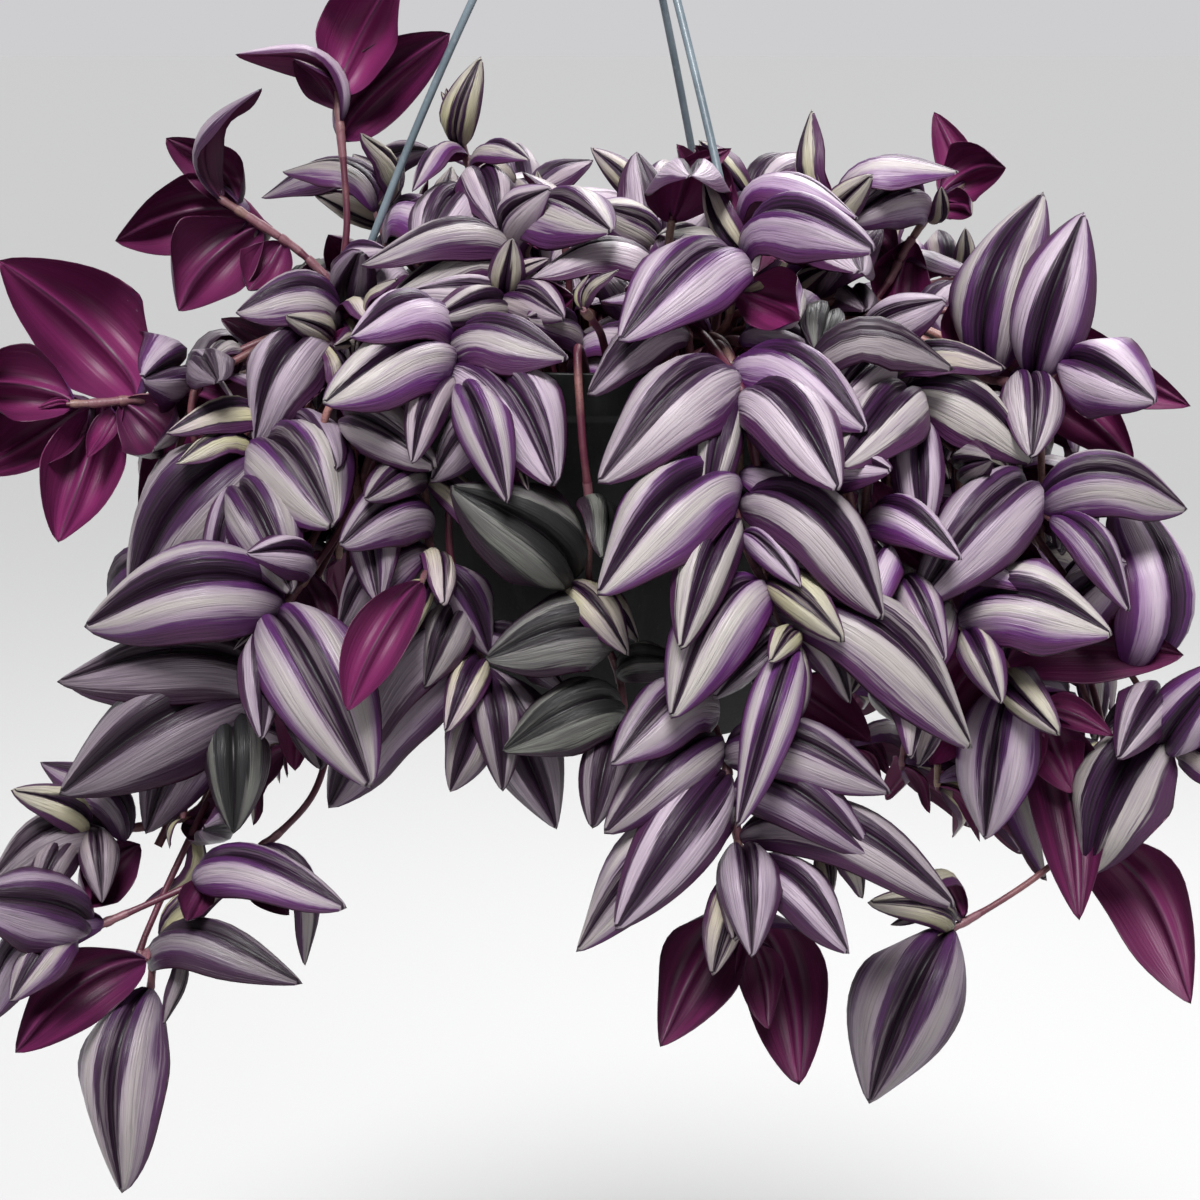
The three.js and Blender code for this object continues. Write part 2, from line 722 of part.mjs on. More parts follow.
// A round bar through the centres, its ends flat. radiusAt takes the share of the way along.
function bar(centres, radiusAt, sides) {
  const rows = centres.length - 1;
  const rings = [];
  let lean = Math.abs(centres[1].x - centres[0].x) > 0.9 ? UP : new THREE.Vector3(1, 0, 0);
  centres.forEach((centre, k) => {
    const ahead = centres[Math.min(k + 1, rows)].clone().sub(centres[Math.max(k - 1, 0)]).normalize();
    const across = lean.clone().addScaledVector(ahead, -lean.dot(ahead)).normalize();
    rings.push({ centre, across, other: new THREE.Vector3().crossVectors(ahead, across) });
    lean = across;
  });
  const template = new THREE.CylinderGeometry(1, 1, 1, sides, rows);
  return solidOf(
    bent(template, (x, y, z) => {
      const row = Math.round((y + 0.5) * rows);
      const { centre, across, other } = rings[row];
      const radius = radiusAt(row / rows);
      return centre.clone().addScaledVector(other, x * radius).addScaledVector(across, z * radius);
    }),
  );
}

// Corners of a blade's section in order: left edge, upper midrib, right edge, lower midrib.
const SECTION = [[-1, 0], [0, 1], [1, 0], [0, -1]];

// Triangles from the blade's root over its sections to its tip. Each half is split from its edge to
// the next midrib, above and below alike, so that the two faces of a folded blade can't cross.
const BLADE_TRIANGLES = (() => {
  const sections = BLADE_STATIONS.length;
  const tip = 4 * sections + 1;
  const corner = (section, k) => 4 * section + (k % 4) + 1;
  const triangles = [];
  for (let k = 0; k < 4; k++) {
    triangles.push([0, corner(0, k + 1), corner(0, k)]);
    for (let section = 0; section < sections - 1; section++) {
      const near = [corner(section, k), corner(section, k + 1)];
      const far = [corner(section + 1, k), corner(section + 1, k + 1)];
      if (k % 2) triangles.push([near[0], near[1], far[0]], [near[1], far[1], far[0]]);
      else triangles.push([near[0], near[1], far[1]], [near[0], far[1], far[0]]);
    }
    triangles.push([corner(sections - 1, k), corner(sections - 1, k + 1), tip]);
  }
  return triangles.flat();
})();

// A leaf blade, thickest at the midrib, arched along its length and folded down either side of it.
function blade({ root, tip, face, breadth }, grow = 0) {
  const along = tip.clone().sub(root);
  const length = along.length();
  along.divideScalar(length);
  const up = face.clone().addScaledVector(along, -face.dot(along)).normalize();
  const side = new THREE.Vector3().crossVectors(along, up);
  const points = [root];
  for (const [t, spread] of BLADE_STATIONS) {
    const half = 0.5 * breadth * length * spread + grow;
    const midrib = root
      .clone()
      .addScaledVector(along, t * length)
      .addScaledVector(up, 4 * BLADE_ARCH * length * t * (1 - t));
    for (const [hand, layer] of SECTION)
      points.push(
        midrib
          .clone()
          .addScaledVector(side, hand * half * Math.cos(degrees(BLADE_FOLD)))
          .addScaledVector(up, -Math.abs(hand) * half * Math.sin(degrees(BLADE_FOLD)))
          .addScaledVector(up, layer * (BLADE_HALF_THICKNESS + grow)),
      );
  }
  points.push(root.clone().addScaledVector(along, length + grow));
  return solidOf(new THREE.BufferGeometry().setFromPoints(points).setIndex(BLADE_TRIANGLES));
}

// ---------------------------------------------------------------- pot, mix and hanger
function lathe(profile, sides) {
  const points = profile.map(([radius, height]) => new THREE.Vector2(radius, height));
  return solidOf(new THREE.LatheGeometry(points, sides).rotateX(Math.PI / 2));
}

// A cylinder or prism standing on the given height.
function post(x, y, low, high, radius, sides) {
  const geometry = new THREE.CylinderGeometry(radius, radius, high - low, sides);
  return solidOf(geometry.rotateX(Math.PI / 2).translate(x, y, (low + high) / 2));
}

// Radius of the pot's outer wall at a height, below the rim band.
function wallRadius(height) {
  const top = POT_HEIGHT - RIM_BAND;
  return BASE_RADIUS + ((RIM_RADIUS - 6 - BASE_RADIUS) * height) / top;
}

function strandPath(azimuth) {
  const lower = around(azimuth, STRAND_CIRCLE, LUG.top - LUG.tall - 4);
  const above = around(azimuth, STRAND_CIRCLE, LUG.top + 3);
  const flare = around(azimuth, ...STRAND_FLARE);
  const upper = around(azimuth, ...STRAND_TOP);
  return [lower, ...new THREE.QuadraticBezierCurve3(above, flare, upper).getPoints(STRAND_SPANS)];
}

function strand(azimuth) {
  const rod = bar(strandPath(azimuth), () => STRAND_RADIUS, STRAND_SIDES);
  const foot = around(azimuth, STRAND_CIRCLE, 0);
  const under = LUG.top - LUG.tall - FIT_GAP;
  const toggle = post(foot.x, foot.y, under - 4, under, 2 * STRAND_RADIUS, 6);
  return rod.add(toggle);
}

function pot() {
  const bandFoot = POT_HEIGHT - RIM_BAND;
  let body = lathe(
    [
      [0, 3],
      [BASE_RADIUS - 9, 3],
      [BASE_RADIUS - 7, 0],
      [BASE_RADIUS, 0],
      [wallRadius(bandFoot), bandFoot],
      [RIM_RADIUS - 3, bandFoot + 3],
      [RIM_RADIUS, POT_HEIGHT],
      [RIM_RADIUS - 3, POT_HEIGHT],
      [RIM_RADIUS - 4, bandFoot + 5],
      [wallRadius(bandFoot) - POT_WALL, bandFoot],
      [wallRadius(3 + POT_WALL) - POT_WALL, 3 + POT_WALL],
      [0, 3 + POT_WALL],
    ],
    POT_SIDES,
  );
  for (const azimuth of STRAND_AZIMUTHS) {
    const plate = new THREE.BoxGeometry(LUG.out, LUG.wide, LUG.tall);
    plate.translate(RIM_RADIUS - 2 + LUG.out / 2, 0, LUG.top - LUG.tall / 2).rotateZ(degrees(azimuth));
    const { x, y } = around(azimuth, STRAND_CIRCLE, 0);
    const hole = post(x, y, 100, POT_HEIGHT + 5, STRAND_RADIUS + FIT_GAP + 0.4, 6);
    body = body.add(solidOf(plate)).subtract(hole);
  }
  for (let k = 0; k < DRAIN_HOLES; k++) {
    const { x, y } = around((360 * k) / DRAIN_HOLES, DRAIN_CIRCLE, 0);
    body = body.subtract(post(x, y, -5, 10, DRAIN_RADIUS, 6));
  }
  return body;
}

function pottingMix(stems) {
  const low = 3 + POT_WALL + FIT_GAP;
  const inside = (height) => wallRadius(height) - POT_WALL - FIT_GAP;
  let mix = lathe([[0, low], [inside(low), low], [inside(SOIL_TOP), SOIL_TOP], [0, SOIL_TOP]], POT_SIDES);
  for (const { points } of stems) {
    const foot = points[0];
    mix = mix.subtract(post(foot.x, foot.y, foot.z - 1, SOIL_TOP + 5, HOLE_RADIUS, HOLE_SIDES));
  }
  return mix;
}

// The hook, its neck and the crown that the three strands end in, moulded as one piece.
function hook() {
  const knots = [new THREE.Vector3(0, 0, CROWN.high - 4), new THREE.Vector3(0, 0, CROWN.high + 4)];
  for (let angle = -56; angle <= 214; angle += 45)
    knots.push(
      new THREE.Vector3(Math.cos(degrees(angle)), 0, Math.sin(degrees(angle)))
        .multiplyScalar(HOOK_RADIUS)
        .add(new THREE.Vector3(0, 0, HOOK_CENTRE)),
    );
  const centres = new THREE.CatmullRomCurve3(knots, false, "catmullrom", 0.5).getPoints(15);
  const { radius, low, high } = CROWN;
  const side = [[radius - 2, low], [radius, low + 3], [radius - 1, high - 4], [5, high]];
  const crown = lathe([[0, low], ...side, [0, high]], 12);
  let body = crown.add(bar(centres, () => HOOK_ROD, 6));
  for (const azimuth of STRAND_AZIMUTHS)
    body = body.subtract(bar(strandPath(azimuth), () => STRAND_RADIUS + FIT_GAP, STRAND_SIDES));
  return body;
}

// ---------------------------------------------------------------- growth
const PITCHES = [0, 8, -8, 16, -16, 24, -24, 34];
const YAWS = [0, 10, -10, 20, -20];
const SHARES = [1, 0.9, 0.8, 0.68];

// The leaf, then the same leaf bent aside and made smaller, step by step.
function* bentLeaves(leaf) {
  const way = leaf.tip.clone().sub(leaf.root);
  const side = new THREE.Vector3().crossVectors(way, leaf.face).normalize();
  for (const share of SHARES)
    for (const yaw of YAWS)
      for (const pitch of PITCHES) {
        const turned = (v) =>
          v.clone().applyAxisAngle(side, degrees(pitch)).applyAxisAngle(leaf.face, degrees(yaw));
        const tip = leaf.root.clone().addScaledVector(turned(way), share);
        yield { ...leaf, tip, face: turned(leaf.face) };
      }
}

function boxesMeet(a, b) {
  return [0, 1, 2].every((k) => a.min[k] <= b.max[k] && b.min[k] <= a.max[k]);
}

function crosses(solid, others) {
  const box = solid.boundingBox();
  return others.some((other) => boxesMeet(box, other.box) && !solid.intersect(other.solid).isEmpty());
}

const withBox = (solid, owner) => ({ solid, owner, box: solid.boundingBox() });
const taper = (share) => STEM_RADIUS + (STEM_TIP_RADIUS - STEM_RADIUS) * share;

function stemSolids(stem) {
  const lines = stem.side ? [stem.points, stem.side] : [stem.points];
  return lines.map((points) => {
    const centres = sectionsFromTip(points).map(({ centre }) => centre);
    return bar(centres.reverse(), taper, STEM_SIDES);
  });
}

// The leaf without the stretch by its root, where it may touch its own stem and neighbours.
function outerPart(leaf) {
  return blade({ ...leaf, root: leaf.root.clone().lerp(leaf.tip, OUTER_FROM) }, CLEARANCE);
}

// The first way of bending the leaf in which it clears the other stems, and its own stem's parts
// too where it can.
function clearLeaf(stem, leaf, others, own) {
  let fallback = null;
  for (const tried of bentLeaves(leaf)) {
    if (crosses(blade(tried, CLEARANCE), others) || !joined(stem, tried)) continue;
    if (!crosses(outerPart(tried), own)) return tried;
    fallback ??= tried;
  }
  return fallback;
}

// The solid without the specks that blades shut in between them where they cross.
function largestOf(solid) {
  return solid.decompose().reduce((a, b) => (a.volume() > b.volume() ? a : b));
}

// True if the surface stays closed when its vertices are rounded to so many decimal places.
function closedWhenRounded(solid, decimals) {
  const { vertProperties, triVerts } = solid.getMesh();
  const rounded = Array.from(vertProperties, (value) => value.toFixed(decimals));
  const nameOf = (vertex) => rounded.slice(3 * vertex, 3 * vertex + 3).join();
  const uses = new Map();
  for (let k = 0; k < triVerts.length; k += 3) {
    const corners = Array.from(triVerts.subarray(k, k + 3), nameOf);
    if (new Set(corners).size < 3) continue;
    corners.forEach((corner, i) => {
      const edge = [corner, corners[(i + 1) % 3]].sort().join(" ");
      uses.set(edge, (uses.get(edge) ?? 0) + 1);
    });
  }
  return [...uses.values()].every((count) => count === 2);
}

// The stem with one more leaf, or null where the join would leave slivers.
function joined(stem, leaf) {
  const solid = stem.solid.add(blade(leaf));
  return SLIVER_DECIMALS.every((decimals) => closedWhenRounded(solid, decimals)) ? solid : null;
}

// Fuses each stem with its leaves.
function grow(stems, obstacles) {
  const placed = obstacles.map((solid) => withBox(solid, null));
  for (const stem of stems)
    for (const solid of stemSolids(stem)) placed.push(withBox(solid, stem.name));
  for (const stem of stems) {
    stem.solid = stemSolids(stem).reduce((body, line) => body.add(line));
    const others = placed.filter(({ owner }) => owner !== stem.name);
    const own = placed.filter(({ owner }) => owner === stem.name);
    for (const leaf of stem.leaves) {
      const found = clearLeaf(stem, leaf, others, own);
      if (!found) continue;
      placed.push(withBox(blade(found), stem.name));
      own.push(withBox(outerPart(found), stem.name));
      stem.solid = largestOf(joined(stem, found));
    }
  }
}

// ---------------------------------------------------------------- the plant
const potMaterial = new THREE.MeshStandardMaterial({ color: 0x1c2021, roughness: 0.6 });
const mixMaterial = new THREE.MeshStandardMaterial({ color: 0x2b211b, roughness: 0.95 });
const hangerMaterial = new THREE.MeshStandardMaterial({ color: 0x7f929b, roughness: 0.45 });
const leafMaterial = new THREE.MeshStandardMaterial({ color: 0x6d4a72, roughness: 0.42 });

const stems = [
  ...Object.entries(STEMS_IN_SIGHT).map(([name, stem]) => stemInSight(name, stem)),
  ...MOUND_ROOTS.map(standingStem),
  ...Array.from({ length: BACK_STEMS }, (_, order) => trailingStem(order)),
];
const potBody = pot();
const mixBody = pottingMix(stems);
const strands = STRAND_AZIMUTHS.map(strand);
grow(stems, [potBody, mixBody, ...strands]);

const plant = new THREE.Group();
plant.position.z = -HANG_HEIGHT;
plant.add(meshOf("pot", potBody, potMaterial));
plant.add(meshOf("potting_mix", mixBody, mixMaterial));
plant.add(meshOf("hanger_hook", hook(), hangerMaterial));
strands.forEach((solid, k) => plant.add(meshOf(`hanger_strand_${k + 1}`, solid, hangerMaterial)));
for (const { name, solid } of stems) plant.add(meshOf(name, solid, leafMaterial));

const hangingPot = new THREE.Group();
hangingPot.add(plant);

export default hangingPot;
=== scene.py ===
"""The looks of a hanging pot of purple-and-silver tradescantia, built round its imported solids.

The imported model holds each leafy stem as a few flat-sided blades on a three-sided stem. This script
reads those blades and stems back from their corners and grows a finer leaf, sheath or stem on each,
fills the plant out with smaller shoots, and finishes the pot, the mix and the hanger. Metres, +Z up.
"""

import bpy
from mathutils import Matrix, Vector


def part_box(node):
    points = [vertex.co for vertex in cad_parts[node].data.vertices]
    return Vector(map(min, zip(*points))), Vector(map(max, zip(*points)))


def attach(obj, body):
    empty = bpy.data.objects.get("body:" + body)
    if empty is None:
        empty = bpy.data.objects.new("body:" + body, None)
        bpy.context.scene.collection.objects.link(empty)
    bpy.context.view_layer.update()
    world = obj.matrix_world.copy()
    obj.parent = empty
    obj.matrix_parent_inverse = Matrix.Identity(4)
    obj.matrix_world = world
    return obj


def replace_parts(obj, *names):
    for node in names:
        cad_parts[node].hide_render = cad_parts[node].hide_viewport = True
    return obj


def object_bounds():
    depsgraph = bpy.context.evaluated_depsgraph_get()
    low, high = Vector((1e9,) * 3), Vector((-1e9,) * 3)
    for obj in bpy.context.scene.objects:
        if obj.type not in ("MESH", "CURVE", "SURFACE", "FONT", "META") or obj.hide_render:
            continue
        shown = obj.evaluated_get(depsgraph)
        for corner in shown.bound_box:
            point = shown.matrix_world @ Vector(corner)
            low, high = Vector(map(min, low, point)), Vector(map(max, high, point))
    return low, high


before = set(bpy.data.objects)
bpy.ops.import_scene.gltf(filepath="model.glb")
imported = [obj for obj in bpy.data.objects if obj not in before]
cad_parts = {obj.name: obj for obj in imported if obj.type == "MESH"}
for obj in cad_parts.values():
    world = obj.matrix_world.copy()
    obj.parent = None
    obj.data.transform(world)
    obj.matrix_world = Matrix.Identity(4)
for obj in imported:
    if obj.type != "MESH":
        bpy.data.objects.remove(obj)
CAD_BOX = [list(corner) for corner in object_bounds()]

import math

import bpy
import numpy as np
from mathutils import Vector
from mathutils.bvhtree import BVHTree

MM = 0.001
UP = np.array([0, 0, 1.0])
HANG_HEIGHT = -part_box("pot")[0].z  # of the hook's bearing point over the pot's base
LEAFY_NODES = sorted(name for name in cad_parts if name.startswith("leafy_stem"))

# ---------------------------------------------------------------- view
VIEW_TILT = math.radians(11)  # by which the eye looks down
VIEW_DISTANCE = 1100 * MM
VIEW_WIDTH = 463.2 * MM  # that the picture shows at the pot's axis
VIEW_AIM = np.array([-1.5 * MM, 0, 41 * MM - HANG_HEIGHT])
TO_EYE = np.array([0, -math.cos(VIEW_TILT), math.sin(VIEW_TILT)])


def in_scene(name, data):
    """A new object of the scene that shows a mesh, a light or a camera."""
    thing = bpy.data.objects.new(name, data)
    bpy.context.scene.collection.objects.link(thing)
    return thing


def make_camera():
    """Looks down at the plant from the front."""
    data = bpy.data.cameras.new("camera")
    data.lens = data.sensor_width * VIEW_DISTANCE / VIEW_WIDTH
    camera = in_scene("camera", data)
    camera.location = VIEW_AIM + VIEW_DISTANCE * TO_EYE
    camera.rotation_euler = (math.pi / 2 - VIEW_TILT, 0, 0)
    bpy.context.scene.camera = camera


make_camera()

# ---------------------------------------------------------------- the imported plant, read back
# The proportions that every packed blade and stem has.
BLADE_THICKNESS = 1.3 * MM  # at the midrib
BLADE_WIDEST = 0.34  # share of the length
BLADE_WAIST = 0.7  # share of the length where it has WAIST_BREADTH of its breadth
WAIST_BREADTH = 0.7
BLADE_ARCH = 0.15  # rise of the midrib over its chord
BLADE_FOLD = math.radians(26)
STEM_RADIUS = 2 * MM
STEM_TIP_RADIUS = 1.4 * MM
HAIR = 0.002 * MM  # corners of one blade fit its proportions this closely
PARALLEL = 0.004  # most that the ends of two parallel unit vectors differ
SHORTEST_BLADE = 8 * MM
MOST_SECTIONS = 30  # of one stem
LEAST_FOUND = 0.6  # share of a stem's sections that has to show
SECTION_SLACK = 0.03  # of the step between two sections
TIP_REACH = (2 * MM, 60 * MM)  # how far past its last section a stem runs on to a leaf


def unit(vector):
    """A vector's direction."""
    return vector / np.linalg.norm(vector)


def gaps(points):
    """The distance of each point from each other."""
    return np.linalg.norm(points[:, None] - points[None], axis=2)


def corners_of(node):
    """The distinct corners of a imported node."""
    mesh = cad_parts[node].data
    points = np.empty(3 * len(mesh.vertices))
    mesh.vertices.foreach_get("co", points)
    return np.unique(points.reshape(-1, 3).round(7), axis=0)


def rise(share):
    """Height of the midrib over its chord at a share of the way, as a share of the length."""
    return 4 * BLADE_ARCH * share * (1 - share)


class Leaf:
    """A blade by its root, its length along one direction, its upper face and its half-breadth."""

    def __init__(self, root, along, up, length, half):
        self.root, self.along, self.up = root, along, up
        self.length, self.half = length, half
        self.side = np.cross(along, up)
        self.tip = root + length * along
        self.youth = 0.0
        # How old the leaf looks, from 0 to 1, with painted shade for a leaf that stands in shade.
        self.age = 0.0

    def carry(self, shift):
        """Moves the whole leaf."""
        self.root = self.root + shift
        self.tip = self.tip + shift


def half_breadth(corners, middle, leaf_axes):
    """The half-breadth that the edge corners beside a midrib's middle give, or None."""
    along, up, side = leaf_axes
    offset = corners - middle
    across = np.abs(offset @ side)
    on_edge = (
        (np.abs(offset @ along) < 4 * HAIR)
        & (np.abs(offset @ up + across * math.tan(BLADE_FOLD)) < 6 * HAIR)
        & (across > BLADE_THICKNESS)
    )
    if not on_edge.any():
        return None
    return across[on_edge].max() / math.cos(BLADE_FOLD)


def leaf_between(corners, widest, waist, up):
    """The leaf with its midrib through two middles, if enough of its other corners are there."""
    step = waist - widest
    reach = BLADE_WAIST - BLADE_WIDEST
    fall = rise(BLADE_WIDEST) - rise(BLADE_WAIST)
    length = np.linalg.norm(step) / math.hypot(reach, fall)
    along = (step + fall * length * up) / (reach * length)
    if length < SHORTEST_BLADE or abs(along @ up) > PARALLEL:
        return None
    along = unit(along)
    axes = (along, up, np.cross(along, up))
    root = widest - BLADE_WIDEST * length * along - rise(BLADE_WIDEST) * length * up
    tip_off = np.linalg.norm(corners - root - length * along, axis=1).min()
    half = half_breadth(corners, widest, axes)
    waist_half = half_breadth(corners, waist, axes)
    if [tip_off < 20 * HAIR, half is not None, waist_half is not None].count(True) < 2:
        return None
    return Leaf(root, along, up, length, half or waist_half / WAIST_BREADTH)


def leaves_of(node):
    """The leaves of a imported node, from the pairs of corners that lie across a midrib."""
    corners = corners_of(node)
    upper, lower = np.where(np.abs(gaps(corners) - BLADE_THICKNESS) < HAIR)
    middles = (corners[upper] + corners[lower]) / 2
    ups = (corners[upper] - corners[lower]) / BLADE_THICKNESS
    leaves = []
    for k, m in zip(*np.where(gaps(ups) < PARALLEL)):
        if k == m:
            continue
        leaf = leaf_between(corners, middles[k], middles[m], unit(ups[k]))
        if leaf and all(np.linalg.norm(leaf.tip - other.tip) > MM for other in leaves):
            leaves.append(leaf)
    return leaves


def sections_of(corners):
    """(share of the way to the tip, centre) of each equal-sided triangle that may be a section."""
    between = gaps(corners)
    low, high = math.sqrt(3) * STEM_TIP_RADIUS - HAIR, math.sqrt(3) * STEM_RADIUS + HAIR
    found = []
    for a, b in zip(*np.where((between > low) & (between < high))):
        if a > b:
            continue
        side = between[a, b]
        third = (np.abs(between[a] - side) < HAIR) & (np.abs(between[b] - side) < HAIR)
        for c in np.where(third)[0]:
            if c > b:
                share = (STEM_RADIUS - side / math.sqrt(3)) / (STEM_RADIUS - STEM_TIP_RADIUS)
                found.append((share, corners[[a, b, c]].mean(0)))
    return found


def line_through(sections):
    """The sections, by their order, of the stem that most of them fit."""
    best = {}
    for rows in range(3, MOST_SECTIONS):
        line = {}
        for share, centre in sections:
            row = round(share * rows)
            if abs(share * rows - row) < SECTION_SLACK:
                line.setdefault(row, centre)
        if len(line) > max(len(best), LEAST_FOUND * (rows + 1)):
            best = line
    return best


def stems_of(node, leaves):
    """The centre lines of a node's stem and its side branch, each from its foot to its tip."""
    sections = sections_of(corners_of(node))
    lines = []
    while len(sections) > 3 or (sections and not lines):
        line = line_through(sections)
        if not line:
            break
        lines.append([line[row] for row in sorted(line)])
        used = list(line.values())
        sections = [s for s in sections if all(s[1] is not centre for centre in used)]
    ahead = unit(lines[0][-1] - lines[0][-2])
    further = [(leaf.root - lines[0][-1]) @ ahead for leaf in leaves]
    nearest, furthest = TIP_REACH
    for k in np.argsort(further):
        near = np.linalg.norm(leaves[k].root - lines[0][-1]) < furthest
        if further[k] > nearest and near and len(lines) == 1:
            lines[0].append(leaves[k].root)
    return [np.array(line) for line in lines]


# ---------------------------------------------------------------- nodes
class Wiring:
    """A shader or geometry node tree, to which nodes are added by what they work out."""

    def __init__(self, tree):
        self.tree = tree

    def node(self, kind, inputs=(), **settings):
        """A new node with its settings made and its inputs set or linked."""
        node = self.tree.nodes.new(kind)
        for name, value in settings.items():
            setattr(node, name, value)
        return self.fill(node, inputs)

    def fill(self, node, inputs):
        """Sets or links a node's inputs, each by its name or number."""
        for socket, value in dict(inputs).items():
            self.put(node.inputs[socket], value)
        return node

    def put(self, socket, value):
        """Links an output to the socket, or sets the socket to a plain value."""
        if isinstance(value, bpy.types.NodeSocket):
            self.tree.links.new(value, socket)
        else:
            socket.default_value = value

    def placed(self, group, inputs):
        """The outputs of a shader group that is placed here with its own values."""
        return self.node("ShaderNodeGroup", inputs, node_tree=group).outputs

    def math(self, operation, *values):
        """What a Math node works out from up to three values."""
        return self.node("ShaderNodeMath", enumerate(values), operation=operation).outputs[0]

    def times(self, value, factor, base=None):
        """The value times the factor, added to the base where there is one."""
        if base is None:
            return self.math("MULTIPLY", value, factor)
        return self.math("MULTIPLY_ADD", value, factor, base)

    def less(self, value, taken):
        """The value less what is taken off it."""
        return self.math("SUBTRACT", value, taken)

    def step(self, value, low, high, start=0.0, end=1.0):
        """A smooth step of the value from start, at low, to end, at high."""
        inputs = {0: value, 1: low, 2: high, 3: start, 4: end}
        return self.node("ShaderNodeMapRange", inputs, interpolation_type="SMOOTHSTEP").outputs[0]

    def band(self, value, low, high, soft):
        """1 where the value lies between low and high, with a soft border."""
        rising = self.step(value, low - soft, low + soft)
        falling = self.step(value, high - soft, high + soft, 1.0, 0.0)
        return self.times(rising, falling)

    def mix(self, share, first, second):
        """The first colour, turning to the second as the share goes from 0 to 1."""
        inputs = {0: share, 6: first, 7: second}
        return self.node("ShaderNodeMix", inputs, data_type="RGBA").outputs[2]

    def noise(self, vector, scale, detail, roughness=0.5):
        """Soft noise about 0.5, with details as deep as asked."""
        inputs = {"Vector": vector, "Scale": scale, "Detail": detail, "Roughness": roughness}
        return self.node("ShaderNodeTexNoise", inputs).outputs[0]

    def vector(self, x, y, z):
        """A vector of three numbers."""
        return self.node("ShaderNodeCombineXYZ", {0: x, 1: y, 2: z}).outputs[0]

    def split(self, vector):
        """The three numbers of a vector."""
        return self.node("ShaderNodeSeparateXYZ", {0: vector}).outputs

    def spot(self):
        """Where a point of the piece is, in metres."""
        return self.node("ShaderNodeTexCoord").outputs["Object"]

    def attribute(self, name):
        """The number that the piece's points hold under a name, for a material."""
        return self.node("ShaderNodeAttribute", attribute_name=name).outputs["Fac"]

    def own(self, factor):
        """A number from 0 to 1 that each leaf has for itself, another for each factor."""
        return self.math("FRACT", self.times(self.attribute("seed"), factor))

    def named(self, name):
        """The number that a mesh's points hold under a name, for a geometry tree."""
        inputs = {"Name": name}
        return self.node("GeometryNodeInputNamedAttribute", inputs, data_type="FLOAT").outputs[0]

    def bump(self, height, depth):
        """The normal of a surface that rises by up to the depth where the height says."""
        return self.node("ShaderNodeBump", {"Height": height, "Distance": depth}).outputs[0]

    def clothed(self, parts, skins):
        """Parts joined and made real, then set in materials, each where its mask is above 0."""
        joined = self.node("GeometryNodeJoinGeometry")
        for part in parts:
            self.put(joined.inputs[0], part)
        geometry = self.node("GeometryNodeRealizeInstances", {0: joined.outputs[0]}).outputs[0]
        for material, mask in skins:
            inputs = {"Geometry": geometry, "Selection": mask, "Material": material}
            geometry = self.node("GeometryNodeSetMaterial", inputs).outputs[0]
        return geometry


def new_group(name, kind, inputs, outputs):
    """A node group with named sockets, as (its wiring, its inputs, its output node)."""
    tree = bpy.data.node_groups.new(name, kind)
    for socket, (socket_kind, value) in inputs.items():
        made = tree.interface.new_socket(socket, in_out="INPUT", socket_type=socket_kind)
        if value is not None:
            made.default_value = value
    for socket, socket_kind in outputs.items():
        tree.interface.new_socket(socket, in_out="OUTPUT", socket_type=socket_kind)
    inside = tree.nodes.new("NodeGroupInput").outputs
    return Wiring(tree), inside, tree.nodes.new("NodeGroupOutput")


def grown(name, mesh, tree, settings):
    """The plain mesh object that a geometry tree makes of a mesh."""
    mesh.update()
    seed = in_scene(name + "_seed", mesh)
    modifier = seed.modifiers.new("growth", "NODES")
    modifier.node_group = tree
    sockets = {item.name: item for item in tree.interface.items_tree if item.in_out == "INPUT"}
    for socket, value in settings.items():
        modifier[sockets[socket].identifier] = value
    evaluated = seed.evaluated_get(bpy.context.evaluated_depsgraph_get())
    result = bpy.data.meshes.new_from_object(evaluated)
    bpy.data.objects.remove(seed)
    return in_scene(name, result)


FLOAT, WHOLE, GEOMETRY, MATERIAL = (
    "NodeSocket" + kind for kind in ("Float", "Int", "Geometry", "Material")
)


# ---------------------------------------------------------------- finishes
def colour(red, green, blue):
    """A colour given as a screen shows it, from 0 to 255, in the scene's linear light."""
    shares = [channel / 255 for channel in (red, green, blue)]
    return (*[s / 12.92 if s < 0.04045 else ((s + 0.055) / 1.055) ** 2.4 for s in shares], 1.0)


def new_material(name):
    """A new material as (material, its wiring, its main shader)."""
    material = bpy.data.materials.new(name)
    material.use_nodes = True
    return material, Wiring(material.node_tree), material.node_tree.nodes["Principled BSDF"]


def long_grain_group():
    """Fine and broad streaks that run along a leaf and differ from leaf to leaf."""
    inputs = {"Across scale": (FLOAT, 24.0), "Along scale": (FLOAT, 2.0)}
    outputs = {"Along": FLOAT, "Out": FLOAT, "Fine": FLOAT, "Broad": FLOAT}
    w, inside, outside = new_group("long grain", "ShaderNodeTree", inputs, outputs)
    along, across, _ = w.split(w.node("ShaderNodeUVMap", uv_map="place").outputs[0])
    seed = w.times(w.attribute("seed"), 57.0)
    x = w.times(across, inside["Across scale"])
    y = w.times(along, inside["Along scale"])
    results = {
        "Along": along,
        "Out": w.math("ABSOLUTE", w.times(across, 2.0, -1.0)),
        "Fine": w.noise(w.vector(x, y, seed), 1.0, 3.0, 0.6),
        "Broad": w.noise(w.vector(w.times(x, 0.16), y, w.math("ADD", seed, 9.0)), 1.0, 2.0),
    }
    w.fill(outside, results)
    return w.tree


